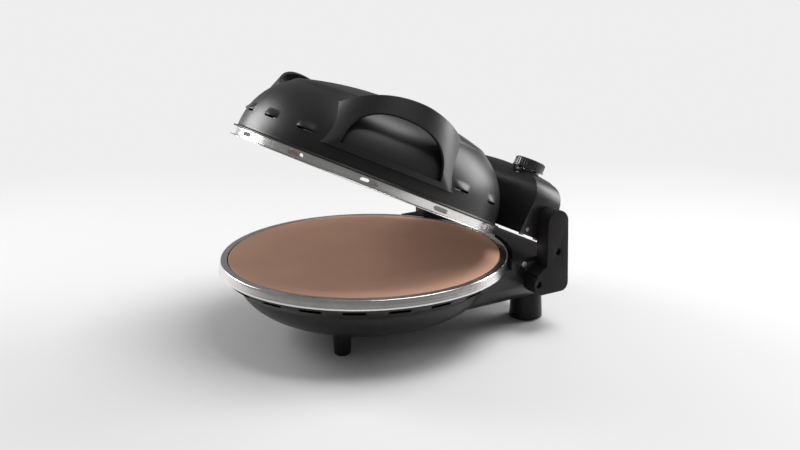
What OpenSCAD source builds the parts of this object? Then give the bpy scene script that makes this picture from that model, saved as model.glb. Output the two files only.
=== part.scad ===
// Round electric pizza oven with a refractory stone and a lid that tips back.
// Millimetres. The table is z = 0, the front faces -Y, the hinge is at the back.
// The lid's pieces are drawn closed, with their own z = 0 at the rim of the base,
// and lid_place() tips them open to the angle at which the oven stands.

/* [Base] */
// Height of the rim of the base, and of the stone's top, above the table
rim_h = 92.5; // [88:0.5:100]
// Outer radius of the polished ring at the top
ring_r = 172.2; // [170:0.1:176]
// Height of the polished ring's skirt
ring_skirt = 10.6; // [8:0.1:13]
// Sheet thickness of the ring and the pans
sheet = 1; // [0.8:0.1:1.4]
// Wall thickness of the moulded black shells
wall = 2.5; // [2:0.1:3]
// How far the bowl stands in from the ring's edge, under its flare
bowl_inset = 13.8; // [12:0.1:17]
// Depth of the bowl below the rim
bowl_depth = 73.7; // [70:0.1:76]
// Radius of the round opening in the bowl's floor
service_r = 60; // [50:1:70]
// Number of air slots around the bowl
slot_count = 22; // [18:2:26]
// Width of an air slot
slot_w = 25; // [16:1:28]
// Height of an air slot
slot_h = 4; // [3:0.5:5]

/* [Stone and lower heating] */
// Width of the polished ring from its outer edge in to the stone
ring_w = 9.2; // [8:0.1:14]
// Thickness of the stone
stone_t = 14; // [10:0.5:16]
// Depth of the lower pan below the rim
pan_depth = 45; // [40:1:50]
// Diameter of the tubular heating elements
element_d = 6.5; // [5:0.5:8]
// Radius of the lower element's loop
lower_loop_r = 100; // [80:1:115]

/* [Rear housing] */
// Half the width of the rear housing between the brackets
tail_x = 125; // [120:1:130]
// Back face of the rear housing behind the ring's edge
tail_back = 27.8; // [25:0.1:34]
// Top of the rear housing's cover below the rim
deck_drop = 1; // [0.5:0.1:3]
// Thickness of the rear housing's cover
deck_t = 3; // [2.4:0.1:4]
// Width of the gap between the ring and the rear housing's cover
ring_gap = 6.4; // [4:0.1:8]
// Underside of the rear housing below the rim
tail_depth = 58; // [52:1:64]

/* [Hinge] */
// Distance of the hinge axis behind the ring's edge
hinge_back = 5.8; // [3:0.1:8]
// Height of the hinge axis above the rim
hinge_up = 41; // [38:1:44]
// Angle at which the lid stands open
open_deg = 25.7; // [5:0.1:60]
// Diameter of the hinge pins
pin_d = 8; // [6:0.5:10]
// Thickness of a hinge bracket
bracket_t = 20.5; // [16:0.5:24]
// Width of a bracket's upright at its top
bracket_w = 29.6; // [26:0.1:34]
// How much further back a bracket stands at its foot than at its top
bracket_lean = 3; // [0:0.1:5]
// Radius of the round end of a bracket's foot
bracket_toe_r = 13.5; // [12:0.1:15]
// Radial clearance of the pins in their bushes
pin_gap = 0.05; // [0.03:0.01:0.08]
// Gap between the lid's housing and each bracket
side_gap = 0.7; // [0.4:0.1:1.5]

/* [Feet] */
// Diameter of a front foot at the bowl
front_foot_d = 21.5; // [18:0.5:26]
// Distance of the front feet from the middle
front_foot_r = 98; // [90:1:105]
// Diameter of a rear foot at its bottom
rear_foot_d = 41; // [36:0.5:46]
// Sideways place of the rear feet
rear_foot_x = 87; // [80:1:95]
// Distance of the rear feet's middles in from the rear housing's back
rear_foot_in = 19.5; // [19:0.5:26]
// Thickness of the rubber pads
pad_t = 1.5; // [1:0.1:3]

/* [Lid] */
// How far the dome stands in from the ring's edge, above its flange
dome_inset = 10.2; // [9:0.1:12]
// Radius of the arc that the dome's side follows
side_arc = 83; // [78:1:88]
// Step of the crown above the dome's side, at the crown's edge
crown_lift = 2; // [1:0.1:3]
// Radius of the shallow crown
crown_arc = 400; // [360:5:440]
// Height of the dome's flange above the rim
flange_z = 11.5; // [10:0.5:13]
// How far the lid's steel lip stands out from the dome
lip_out = 5; // [3:0.5:6]
// Depth of the hollow under the lid above the rim
hollow_h = 54; // [48:1:58]
// Radius of the upper element's loop
upper_loop_r = 105; // [85:1:110]
// Number of oval air holes around the lid's steel band
band_hole_count = 12; // [8:2:12]

/* [Handles] */
// Bearing of each side handle from the front
handle_deg = 65; // [60:1:70]
// How far the handle's outer wall stands out from the dome's foot
handle_out = 3; // [1.5:0.5:4]
// Radius of the handle's rounded plan near its top
handle_plan_r = 68; // [64:1:72]
// Distance of that rounded plan's middle in from the dome's foot
handle_plan_in = 76.4; // [72:0.2:80]
// Lean of the handle's wall, as a run for each unit of height
handle_lean = 0.383; // [0.3:0.01:0.45]
// Underside of a handle above the rim
handle_low = 28; // [24:0.5:30]
// Height of the handle's arch above the rim
handle_top = 102.5; // [98:0.5:106]
// Half the length of the finger opening
window_half = 56; // [46:1:58]
// Sill of the finger opening above the rim
window_sill = 34; // [32:0.5:38]
// Height of the finger opening
window_h = 46.5; // [40:0.5:48]

/* [Control housing] */
// Height of the housing's top above the rim at its middle
box_top = 94.5; // [93:0.5:97]
// Radius of the arch that the housing's top follows
box_arch = 500; // [400:10:600]
// Radius of the housing's rounded upper ends
box_end_r = 30; // [24:1:40]
// Radius of the housing's rounded back edge
box_back_r = 22; // [16:1:30]
// Front face of the housing in front of the hinge axis, at its foot
box_fore = 32; // [30:1:34]
// Back face of the housing behind the hinge axis
box_aft = 13.5; // [13:0.5:20]
// Underside of the housing above the rim
box_floor = 15.8; // [15:0.1:18]

/* [Controls] */
// Diameter of the thermostat knob
knob_d = 39.5; // [34:0.5:42]
// Height of the thermostat knob
knob_h = 12; // [10:0.5:14]
// Sideways place of the knob
knob_x = 67; // [50:1:70]
// Place of the knob in front of the hinge axis
knob_fore = 7; // [4:1:9]
// Diameter of the thermostat's shaft
shaft_d = 6; // [5:0.5:7]
// Number of finger ribs around the knob
rib_count = 36; // [24:4:48]

/* [Hidden] */

round_fn = 96;
small_fn = 32;
touch = 0.02;
hinge_y = ring_r + hinge_back;
hinge_z = rim_h + hinge_up;
stone_r = ring_r - ring_w;
bowl_r = ring_r - bowl_inset;
tail_y = ring_r + tail_back;
rear_foot_y = tail_y - rear_foot_in;
dome_r = ring_r - dome_inset;
lip_r = dome_r + lip_out;
handle_r = dome_r + handle_out;
handle_plan_v = dome_r - handle_plan_in;
box_front = hinge_y - box_fore;
box_back = hinge_y + box_aft;
knob_y = hinge_y - knob_fore;
bracket_in = tail_x;
bracket_out = bracket_in + bracket_t;
box_x = tail_x - side_gap;
rim_gap = 0.3;
flare_r = ring_r - 1.7;
flare_z = 13;
flare_foot = 28;
bowl_flat = 43.5;
bowl_power = 2.52;
ledge_in = bowl_r - 10.4;
pan_floor_r = bowl_at(pan_depth / bowl_depth, wall) - 3.4;
element_z = 15 - pan_depth;
leg_x = 28;
upper_z = 30;
band_r = dome_r + 0.5;
flange_t = 2;
flange_r = lip_r - 0.5;
lip_z = 1;
lip_t = 1.2;
side_cx = dome_r - side_arc;
crease_r = side_cx + 41.3;
crease_z = flange_z + flange_t + sqrt(side_arc * side_arc - (crease_r - side_cx) * (crease_r - side_cx));
crown_cz = crease_z + crown_lift - 0.015 - sqrt(crown_arc * crown_arc - crease_r * crease_r);
seam = 1;
boss_r = 11;
bush_r = 7;
bush_len = 18;
pin_len = bracket_t - 4 + bush_len;
knob_floor = box_top - knob_x * knob_x / (2 * box_arch);
knob_lift = 1.6;
neck_r = 15;
thermostat_h = 24;
thermostat_r = 13.5;
thermostat_drop = wall + thermostat_r * (knob_x + thermostat_r) / box_arch + 0.6;
// Half way between the front of the ring's flange and the back of the knob, in the open lid
middle_y = (hinge_y + (knob_y - hinge_y + knob_d / 2 - 0.8) * cos(open_deg)
    + (knob_floor + knob_lift + knob_h - 1.5 - hinge_up) * sin(open_deg) - ring_r - 2.5) / 2;
cover_r = service_r + 8;
cover_t = 1.6;
foot_inset = 1.5;
lip_wall_in = ring_r + ring_gap;
lip_wall_out = lip_wall_in + wall;
deck_z = -deck_drop - deck_t;
screw_r = 3.4;
screw_shank = 1.6;
head_h = 2;

// Points of a circular arc in the plane, from angle a to angle b
function arc(cx, cy, r, a, b, n) =
    [for (i = [0 : n]) [cx + r * cos(a + (b - a) * i / n), cy + r * sin(a + (b - a) * i / n)]];

// Radius of the bowl at the share s of its depth, as a superellipse
function bowl_at(s, inset) =
    bowl_flat + (bowl_r - inset - bowl_flat) * pow(1 - pow(s, bowl_power), 1 / bowl_power);

// Puts the closed lid's pieces at the angle at which the lid stands
module lid_place() {
    translate([0, hinge_y, hinge_z])
        rotate([-open_deg, 0, 0])
            translate([0, -hinge_y, -hinge_up])
                children();
}

module both_sides() {
    children();
    mirror([1, 0, 0]) children();
}

// Screw with its head up and the underside of the head at the origin
module screw(length, head_r = screw_r) {
    difference() {
        cylinder(r = head_r, h = head_h, $fn = small_fn);
        for (a = [0, 90]) rotate([0, 0, a])
            translate([-head_r * 0.6, -0.45, head_h - 1]) cube([head_r * 1.2, 0.9, 1 + touch]);
    }
    translate([0, 0, -length]) cylinder(r = screw_shank, h = length + touch, $fn = small_fn);
}

// Solid of revolution of the bowl, from the floor to just under the ring
module bowl_solid(inset) {
    steps = 14;
    depth = bowl_depth - inset;
    side = [for (i = [0 : steps]) let (s = pow(i / steps, 0.6))
        [bowl_at(max(s, flare_foot / depth), inset), -max(s * depth, flare_foot)]];
    rotate_extrude($fn = round_fn) polygon(concat(
        [[0, -rim_gap - sheet], [flare_r - inset, -rim_gap - sheet], [flare_r - inset, -flare_z],
         [flare_r - inset - 2, -flare_z - 4]],
        [for (p = side) if (p[1] < -flare_foot - 1 || p == side[0]) p],
        [[bowl_flat, -depth], [0, -depth]]));
}

// Outline of the rear housing across its width
module tail_outline(inset) {
    low = 25 - inset;
    x = tail_x - inset;
    top = deck_z + (inset > 0 ? 1 : 0);
    bottom = -tail_depth + inset;
    polygon(concat(arc(x - low, bottom + low, low, -90, 0, 10), [[x, top], [-x, top]],
        arc(-x + low, bottom + low, low, 180, 270, 10)));
}

module tail_solid(inset) {
    translate([0, tail_y - inset, 0]) rotate([90, 0, 0])
        linear_extrude(tail_y - inset - 20) tail_outline(inset);
}

module base_shell() {
    color("#1d1d1f") translate([0, 0, rim_h]) difference() {
        union() {
            difference() {
                union() {
                    bowl_solid(0);
                    tail_solid(0);
                }
                bowl_solid(wall);
                // inside of the rear housing, open at the top where the cover closes it
                difference() {
                    tail_solid(wall);
                    translate([0, 0, -ring_skirt - 2 - wall])
                        cylinder(r = lip_wall_out, h = ring_skirt + 10, $fn = round_fn);
                }
                // room for the ring and its skirt
                translate([0, 0, -ring_skirt - 2]) difference() {
                    cylinder(r = lip_wall_in, h = ring_skirt + 3, $fn = round_fn);
                    translate([0, 0, -1]) cylinder(r = flare_r, h = ring_skirt + 5, $fn = round_fn);
                }
                // seat of the ring and room above it
                translate([0, 0, -rim_gap - sheet]) cylinder(r = lip_wall_in, h = 5, $fn = round_fn);
            }
            // bosses inside the sides that take the bracket screws
            both_sides() for (p = bracket_screw_places()) if (p[1] < 0)
                translate([tail_x - 12, p[0], p[1]]) rotate([0, 90, 0])
                    cylinder(r = 5, h = 12, $fn = small_fn);
        }
        both_sides() translate([tail_x - wall - 1, deck_screw_y(), deck_screw_z()]) rotate([0, 90, 0])
            cylinder(r = screw_shank, h = wall + 2, $fn = small_fn);
        translate([0, 0, -bowl_depth - 1]) cylinder(r = service_r, h = 10, $fn = round_fn);
        for (i = [0 : 3]) rotate([0, 0, i * 90])
            translate([service_r + 4, 0, -bowl_depth - 1]) cylinder(r = screw_shank, h = 8, $fn = small_fn);
        for (i = [0 : slot_count - 1]) rotate([0, 0, (i + 0.5) * 360 / slot_count])
            if (abs((i + 0.5) * 360 / slot_count - 180) > 57)
                translate([-slot_w / 2, -flare_r - 2, -flare_z - 1.5 - slot_h]) cube([slot_w, 22, slot_h]);
        both_sides() for (p = bracket_screw_places()) if (p[1] < 0)
            translate([tail_x - 11, p[0], p[1]]) rotate([0, 90, 0])
                cylinder(r = screw_shank, h = 14, $fn = small_fn);
        translate([inlet_x(), tail_y - wall - 1, inlet_z()]) rotate([-90, 0, 0])
            cylinder(r = inlet_r(), h = wall + 2, $fn = small_fn);
    }
}

function inlet_x() = -70;
function inlet_z() = -36;
function inlet_r() = 7;
// Places of a bracket's two screws, as distance back and height above the rim
function bracket_screw_places() = [[hinge_y + 1.8, 7], [hinge_y - 25.5, -29.5]];

module bottom_cover() {
    color("#26262a") translate([0, 0, rim_h - bowl_depth - cover_t]) difference() {
        cylinder(r = cover_r, h = cover_t, $fn = round_fn);
        for (i = [0 : 3]) rotate([0, 0, i * 90])
            translate([service_r + 4, 0, -1]) cylinder(r = screw_shank, h = cover_t + 2, $fn = small_fn);
        for (i = [-3 : 3]) translate([i * 12 - 2, -25, -1]) cube([4, 50, cover_t + 2]);
    }
}

module bottom_cover_screws() {
    color("silver") for (i = [0 : 3]) rotate([0, 0, i * 90])
        translate([service_r + 4, 0, rim_h - bowl_depth - cover_t]) mirror([0, 0, 1])
            screw(cover_t + 4);
}

// Cover of the rear housing, cut out round the ring, with a lug inside each end
module rear_deck() {
    color("#1a1a1c") translate([0, 0, rim_h]) difference() {
        union() {
            translate([-tail_x, 90, deck_z + touch])
                cube([2 * tail_x, tail_y - 90, deck_t - touch]);
            both_sides() translate([tail_x - wall - rim_gap - lug_t, deck_screw_y() - 3.5, deck_screw_z() - 4])
                cube([lug_t, 11, deck_z - deck_screw_z() + 4 + 1]);
        }
        translate([0, 0, -40]) cylinder(r = lip_wall_in, h = 60, $fn = round_fn);
        translate([0, 0, -60]) cylinder(r = lip_wall_out + rim_gap, h = 60 + deck_z, $fn = round_fn);
        both_sides() translate([tail_x - wall - lug_t - 2, deck_screw_y(), deck_screw_z()])
            rotate([0, 90, 0]) cylinder(r = screw_shank, h = lug_t + 4, $fn = small_fn);
    }
}

lug_t = 8;
function deck_screw_y() = tail_y - 55.5;
function deck_screw_z() = deck_z - 3.6;

module deck_screws() {
    color("silver") both_sides()
        translate([tail_x, deck_screw_y(), rim_h + deck_screw_z()]) rotate([0, 90, 0]) screw(9, 3.4);
}

module rim_ring() {
    out = ring_r + 2.5;
    in = stone_r + 1.2;
    color("#d8d8da") translate([0, 0, rim_h]) rotate_extrude($fn = round_fn) polygon([
        [in, 0], [ring_r, 0], [out, -ring_skirt], [out - sheet, -ring_skirt],
        [ring_r - sheet, -sheet], [in, -sheet]]);
}

module lower_pan() {
    out = stone_r + 2.2;
    top = -sheet - touch;
    ledge = -stone_t - touch;
    color("#b9babd") translate([0, 0, rim_h]) difference() {
        rotate_extrude($fn = round_fn) polygon([
            [out, top], [out, ledge - sheet], [ledge_in + sheet, ledge - sheet],
            [pan_floor_r + sheet, -pan_depth], [0, -pan_depth], [0, -pan_depth + sheet],
            [pan_floor_r, -pan_depth + sheet], [ledge_in, ledge], [out - sheet, ledge],
            [out - sheet, top]]);
        for (s = [-1, 1]) translate([s * leg_x, pan_back() - 24, element_z]) rotate([-90, 0, 0])
            cylinder(r = element_d / 2 + 2, h = 50, $fn = small_fn);
    }
}

// Back of the pan's sloping wall where the element's legs leave it
function pan_back() = let (r = pan_floor_r + (ledge_in - pan_floor_r) * 0.72 + sheet)
    sqrt(r * r - pow(leg_x - element_d, 2)) + 0.8;
function leg_end() = pan_back() + 23;

module pizza_stone() {
    color("#c98d72") translate([0, 0, rim_h - stone_t])
        rotate_extrude($fn = round_fn) polygon([
            [0, 0], [stone_r - 1, 0], [stone_r, 1], [stone_r, stone_t - 1], [stone_r - 1, stone_t],
            [0, stone_t]]);
}

// Tube loop with two legs that leave it towards the back
module heating_loop(loop_r, leg_end) {
    half_gap = asin(leg_x / loop_r);
    rotate([0, 0, 90 + half_gap]) rotate_extrude(angle = 360 - 2 * half_gap, $fn = round_fn)
        translate([loop_r, 0]) circle(d = element_d, $fn = 24);
    for (s = [-1, 1]) translate([s * leg_x, sqrt(loop_r * loop_r - leg_x * leg_x), 0]) {
        sphere(d = element_d + 0.6, $fn = 24);
        rotate([-90, 0, 0])
            cylinder(d = element_d, h = leg_end - sqrt(loop_r * loop_r - leg_x * leg_x), $fn = 24);
    }
}

module lower_element() {
    color("#7d7f83") translate([0, 0, rim_h + element_z]) heating_loop(lower_loop_r, leg_end());
}

// Strap that stands on the floor of a pan and holds the tube at its top
module element_clip(height) {
    difference() {
        translate([-5, -4.5, 0]) cube([10, 9, height + element_d / 2 - 1]);
        translate([-6, 0, height]) rotate([0, 90, 0])
            cylinder(d = element_d + 0.1, h = 12, $fn = 24);
        translate([-6, -3, 2]) cube([12, 6, max(height - element_d / 2 - 4, 1)]);
    }
}

module lower_element_clips() {
    color("silver") for (a = [30, 150, 270]) rotate([0, 0, a - 90])
        translate([0, lower_loop_r, rim_h - pan_depth + sheet])
            element_clip(pan_depth - sheet + element_z);
}

// Ceramic bush with a flange behind a wall and a sleeve that passes forward through it
module element_bush(sleeve) {
    rotate([-90, 0, 0]) difference() {
        union() {
            cylinder(r = element_d / 2 + 3, h = 5, $fn = small_fn);
            translate([0, 0, -sleeve]) cylinder(r = element_d / 2 + 1.9, h = sleeve + 9, $fn = small_fn);
        }
        translate([0, 0, -sleeve - 1]) cylinder(d = element_d + 0.1, h = sleeve + 12, $fn = 24);
    }
}

module lower_element_bushes() {
    color("ivory") for (s = [-1, 1]) translate([s * leg_x, pan_back(), rim_h + element_z]) element_bush(8);
}

module terminal_block() {
    difference() {
        cube([60, 16, 14]);
        for (i = [0 : 3]) translate([10 + i * 13.3, 8, 5]) cylinder(d = 6, h = 12, $fn = small_fn);
        for (i = [0 : 3]) translate([10 + i * 13.3, -1, 4]) rotate([-90, 0, 0])
            cylinder(d = 3, h = 20, $fn = 24);
    }
}

module base_terminal_block() {
    color("ivory") translate([-30, tail_y - 26, rim_h - tail_depth + wall]) terminal_block();
}

// Insulated wire along a list of points
module wire(points, d = 2.6) {
    for (i = [0 : len(points) - 2]) {
        v = points[i + 1] - points[i];
        translate(points[i]) rotate([0, acos(v[2] / norm(v)), atan2(v[1], v[0])])
            cylinder(d = d, h = norm(v), $fn = 16);
        if (i > 0) translate(points[i]) rotate([0, acos(v[2] / norm(v)), atan2(v[1], v[0])])
            sphere(d = d + 0.8, $fn = 16);
    }
}

module base_wires() {
    y = tail_y - 18;
    z = rim_h - tail_depth + wall + 5.3;
    leg_z = rim_h + element_z;
    color("#a33") {
        wire([[-20, y, z], [-20, y, leg_z - 6], [-leg_x, y - 4, leg_z], [-leg_x, leg_end() + 0.3, leg_z]]);
        wire([[19.9, y, z], [20, y, leg_z - 6], [leg_x, y - 4, leg_z], [leg_x, leg_end() + 0.3, leg_z]]);
        wire([[-6.7, y, z], [-6.7, y, z + 14], [-6.7, y + 7, z + 14], [-40, y + 7, rim_h + inlet_z()],
            [inlet_x(), tail_y - wall - 9, rim_h + inlet_z()], [inlet_x(), tail_y, rim_h + inlet_z()]]);
    }
}

module cord_inlet() {
    color("#111") translate([inlet_x(), tail_y - wall - 2, rim_h + inlet_z()]) rotate([-90, 0, 0])
        difference() {
            union() {
                cylinder(r = inlet_r() + 2.5, h = 2, $fn = small_fn);
                cylinder(r = inlet_r(), h = wall + 6, $fn = small_fn);
                translate([0, 0, wall + 2]) cylinder(r = inlet_r() + 2, h = 3, $fn = small_fn);
            }
            translate([0, 0, -1]) cylinder(r = 3.6, h = wall + 12, $fn = small_fn);
        }
}

module front_feet() {
    color("#141416") difference() {
        both_sides() rotate([0, 0, -45]) translate([front_foot_r, 0, pad_t])
            cylinder(d1 = front_foot_d - 2.5, d2 = front_foot_d + 1, h = 34, $fn = 48);
        translate([0, 0, rim_h]) bowl_solid(0);
        both_sides() rotate([0, 0, -45]) translate([front_foot_r, 0, -touch])
            cylinder(d = front_foot_d - 6, h = pad_t + foot_inset + touch, $fn = 48);
    }
}

module rear_feet() {
    color("#141416") difference() {
        both_sides() translate([rear_foot_x, rear_foot_y, pad_t])
            cylinder(d1 = rear_foot_d, d2 = rear_foot_d - 5, h = rim_h - tail_depth + 16, $fn = 64);
        translate([0, 0, rim_h]) tail_solid(0);
        translate([0, 0, rim_h]) bowl_solid(0);
        both_sides() translate([rear_foot_x, rear_foot_y, -touch])
            cylinder(d = rear_foot_d - 6, h = pad_t + foot_inset + touch, $fn = 48);
    }
}

module foot_pads() {
    color("#0c0c0d") both_sides() {
        rotate([0, 0, -45]) translate([front_foot_r, 0, 0])
            cylinder(d = front_foot_d - 6 - 0.1, h = pad_t + foot_inset, $fn = 48);
        translate([rear_foot_x, rear_foot_y, 0])
            cylinder(d = rear_foot_d - 6 - 0.1, h = pad_t + foot_inset, $fn = 48);
    }
}

// Side view of a bracket: an upright with a round top, and a toe that reaches forward
module bracket_outline() {
    r = bracket_w / 2;
    mid = hinge_y + 0.9;
    toe = [hinge_y - 19, -29.8];
    low = toe[1] - bracket_toe_r;
    back = mid + r + bracket_lean;
    corner = 10;
    union() {
        translate([mid, hinge_up + 1.2]) circle(r = r, $fn = 64);
        polygon(concat([[mid - r, hinge_up + 1.2], [mid - r, low]],
            arc(back - corner, low + corner, corner, -90, 0, 8), [[mid + r, hinge_up + 1.2]]));
        translate(toe) circle(r = bracket_toe_r, $fn = 64);
        translate([toe[0], low]) square([mid - r - toe[0] + 1, bracket_toe_r]);
        polygon([[mid - r + 1, toe[1] + 20.8], [mid - r, toe[1] + 20.8], [toe[0] - 9.4, toe[1] + 11.6],
            toe, [mid - r + 1, toe[1]]]);
    }
}

module bracket_right() {
    color("#1b1b1d") difference() {
        translate([bracket_in, 0, rim_h]) rotate([90, 0, 90]) linear_extrude(bracket_t) bracket_outline();
        translate([bracket_in - 1, hinge_y, hinge_z]) rotate([0, 90, 0])
            cylinder(d = pin_d + 0.04, h = bracket_t - 3, $fn = 48);
        for (p = bracket_screw_places()) translate([0, p[0], rim_h + p[1]]) rotate([0, 90, 0]) {
            translate([0, 0, bracket_out - 7]) cylinder(d = 8.4, h = 8, $fn = small_fn);
            translate([0, 0, bracket_in - 1]) cylinder(r = screw_shank + 0.2, h = bracket_t, $fn = small_fn);
        }
    }
}

module bracket_left() {
    mirror([1, 0, 0]) bracket_right();
}

module bracket_screws() {
    color("silver") both_sides() for (p = bracket_screw_places())
        translate([bracket_out - 7, p[0], rim_h + p[1]]) rotate([0, 90, 0])
            screw(p[1] > 0 ? bracket_t - 8 : bracket_t + 2, 3.6);
}

module hinge_pins() {
    color("silver") both_sides() translate([bracket_in + bracket_t - 4 - pin_len, hinge_y, hinge_z])
        rotate([0, 90, 0]) difference() {
            cylinder(d = pin_d, h = pin_len, $fn = 48);
            translate([0, 0, -1]) cylinder(d = pin_d - 4, h = pin_len - 2, $fn = 24);
        }
}

// Solid of revolution of the dome, from its flange to its crown
module dome_solid(inset, foot) {
    c = crown_arc - inset;
    s = side_arc - inset;
    r = crease_r - inset * 0.8;
    z0 = flange_z + flange_t;
    a = acos((r - side_cx) / s);
    b = acos(r / c);
    rotate_extrude($fn = 120) polygon(concat(
        [[0, foot], [side_cx + s, foot]],
        arc(side_cx, z0, s, 0, a, 18),
        arc(0, crown_cz, c, b, 90, 10)));
}

function louver_bearings() = [9.5, 29.5, 97, 120];
function reflector_screw_bearings() = [45, 135, 225, 315];
louver_z = 36;
reflector_screw_r = 84;
handle_wall = 3.2;
handle_arch = 125;
handle_skew = 8;

module lid_dome() {
    color("#202023") lid_place() difference() {
        union() {
            dome_solid(0, flange_z);
            translate([0, 0, flange_z]) cylinder(r = flange_r, h = flange_t, $fn = 120);
            both_sides() for (a = louver_bearings()) louver_hood(a);
        }
        difference() {
            dome_solid(wall, flange_z - 1);
            for (a = reflector_screw_bearings()) rotate([0, 0, a])
                translate([reflector_screw_r, 0, hollow_h + touch]) cylinder(r = 4.5, h = 60, $fn = small_fn);
        }
        for (a = reflector_screw_bearings()) rotate([0, 0, a])
            translate([reflector_screw_r, 0, hollow_h]) cylinder(r = screw_shank, h = 9, $fn = small_fn);
        both_sides() for (a = louver_bearings()) louver_slot(a);
        for (s = [-1, 1]) translate([s * leg_x, dome_r - 32, upper_z]) rotate([-90, 0, 0])
            cylinder(r = element_d / 2 + 2, h = 40, $fn = small_fn);
        both_sides() handle_turn() for (p = handle_screw_spots()) translate([dome_r - 40, p[0], p[1]])
            rotate([0, 90, 0]) cylinder(r = 1.3, h = 60, $fn = small_fn);
    }
}

// Eyebrow over an air slot: a flattened drop that stands out of the dome's side
module louver_hood(bearing) {
    rotate([0, 0, bearing - 90]) translate([dome_r - 5.2, 0, louver_z]) intersection() {
        rotate([90, 0, 0]) cylinder(r = 6, h = 16, center = true, $fn = 40);
        translate([0, 0, -4]) cylinder(r = 9, h = 9, $fn = 40);
        translate([-8, -8, -1]) cube([16, 16, 8]);
    }
}

module louver_slot(bearing) {
    rotate([0, 0, bearing - 90]) translate([dome_r - 9.5, -6, louver_z - 2.6]) cube([9.6, 12, 2.4]);
}

// Turns children so that their +X points out along the right handle's bearing
module handle_turn() {
    rotate([0, 0, handle_deg - 90]) children();
}

// Bulging block that a handle's wall follows
module handle_block(inset, low) {
    high = handle_top + 6;
    intersection() {
        translate([0, 0, low]) cylinder(r = handle_r - inset, h = high - low, $fn = 120);
        handle_turn() translate([handle_plan_v, 0, low])
            cylinder(r1 = handle_plan_r + (95 - low) * handle_lean - inset,
                r2 = handle_plan_r + (95 - high) * handle_lean - inset, h = high - low, $fn = 120);
        handle_turn() translate([dome_r - 84 - inset, -100, low]) cube([120, 200, high - low]);
    }
}

// Finger opening as seen from outside, a rounded arch over a straight sill
module window_outline() {
    power = 2.4;
    steps = 28;
    polygon([for (i = [0 : steps]) let (a = 180 * i / steps)
        [window_half * sign(cos(a)) * pow(abs(cos(a)), 2 / power),
         window_sill + window_h * pow(sin(a), 2 / power)]]);
}

module handle_right() {
    color("#1d1d20") lid_place() difference() {
        handle_block(0, handle_low);
        handle_block(handle_wall, window_sill - 2.5);
        dome_solid(-0.05, 0);
        handle_turn() translate([60, 0, 0]) rotate([90, 0, 90]) linear_extrude(140) window_outline();
        handle_turn() for (p = handle_screw_spots()) translate([dome_r - 40, p[0], p[1]])
            rotate([0, 90, 0]) cylinder(r = 1.2, h = handle_screw_v(p) + 6.2 - dome_r + 40, $fn = small_fn);
        handle_turn() difference() {
            translate([40, -120, 0]) cube([160, 240, 200]);
            translate([30, handle_skew, handle_top - handle_arch]) rotate([0, 90, 0])
                cylinder(r = handle_arch, h = 180, $fn = 180);
        }
    }
}

module handle_left() {
    mirror([1, 0, 0]) handle_right();
}

function handle_screw_spots() = [[-58, 29.8], [58, 29.8]];
// Radius of the dome's outside at a height on its side
function dome_at(z) = side_cx + sqrt(side_arc * side_arc - pow(z - flange_z - flange_t, 2));
// Distance out to the underside of a handle screw's head, inside the dome
function handle_screw_v(p) = sqrt(pow(dome_at(p[1]) - wall, 2) - p[0] * p[0]) - 1.9;

module handle_screws() {
    color("silver") lid_place() both_sides() handle_turn() for (p = handle_screw_spots())
        translate([handle_screw_v(p), p[0], p[1]]) rotate([0, 90, 0]) {
            translate([0, 0, -head_h]) cylinder(r = 2.6, h = head_h, $fn = small_fn);
            translate([0, 0, -touch]) cylinder(r = 1.2, h = 6, $fn = small_fn);
        }
}

module lid_band() {
    in = band_r - sheet;
    color("#d4d4d6") lid_place() difference() {
        rotate_extrude($fn = 120) polygon([
            [in - 4, lip_z], [lip_r, lip_z], [lip_r, lip_z + lip_t], [band_r, lip_z + lip_t],
            [band_r, flange_z - touch], [in - 6, flange_z - touch], [in - 6, flange_z - sheet],
            [in, flange_z - sheet], [in, lip_z + lip_t], [in - 4, lip_z + lip_t]]);
        for (i = [0 : band_hole_count - 1]) rotate([0, 0, i * 360 / band_hole_count])
            translate([0, -band_r + 3, (lip_z + lip_t + flange_z) / 2]) rotate([90, 0, 0])
                linear_extrude(10) union() {
                    square([10, 5], center = true);
                    for (s = [-1, 1]) translate([s * 5, 0]) circle(d = 5, $fn = 24);
                }
    }
}

module lid_reflector() {
    t = sheet;
    foot = band_r - sheet - 5;
    seat = flange_z + touch;
    color("#c4c5c8") lid_place() difference() {
        rotate_extrude($fn = 120) polygon(concat(
            [[foot, seat], [foot - 3.3, 22]], arc(foot - 25.3, 32, 22, 0, 90, 8),
            [[0, hollow_h], [0, hollow_h - t]], arc(foot - 25.3, 32, 22 - t, 90, 0, 8),
            [[foot - 3.3 - t, 22], [foot - t, seat]]));
        for (s = [-1, 1]) translate([s * leg_x, dome_r - 52, upper_z]) rotate([-90, 0, 0])
            cylinder(r = element_d / 2 + 2, h = 60, $fn = small_fn);
        for (a = reflector_screw_bearings()) rotate([0, 0, a]) translate([reflector_screw_r, 0, 40])
            cylinder(r = screw_shank + 0.1, h = 20, $fn = small_fn);
    }
}

module reflector_screws() {
    color("silver") lid_place() for (a = reflector_screw_bearings()) rotate([0, 0, a])
        translate([reflector_screw_r, 0, hollow_h - sheet]) mirror([0, 0, 1]) screw(8, 3);
}

module upper_element() {
    color("#7d7f83") lid_place() translate([0, 0, upper_z]) heating_loop(upper_loop_r, upper_leg_end());
}

module upper_element_clips() {
    color("silver") lid_place() for (a = [30, 150, 270]) rotate([0, 0, a - 90])
        translate([0, upper_loop_r, hollow_h - sheet - touch]) mirror([0, 0, 1])
            element_clip(hollow_h - sheet - upper_z);
}

module upper_element_bushes() {
    color("ivory") lid_place() for (s = [-1, 1]) translate([s * leg_x, upper_bush_y(), upper_z])
        element_bush(13);
}

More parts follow.
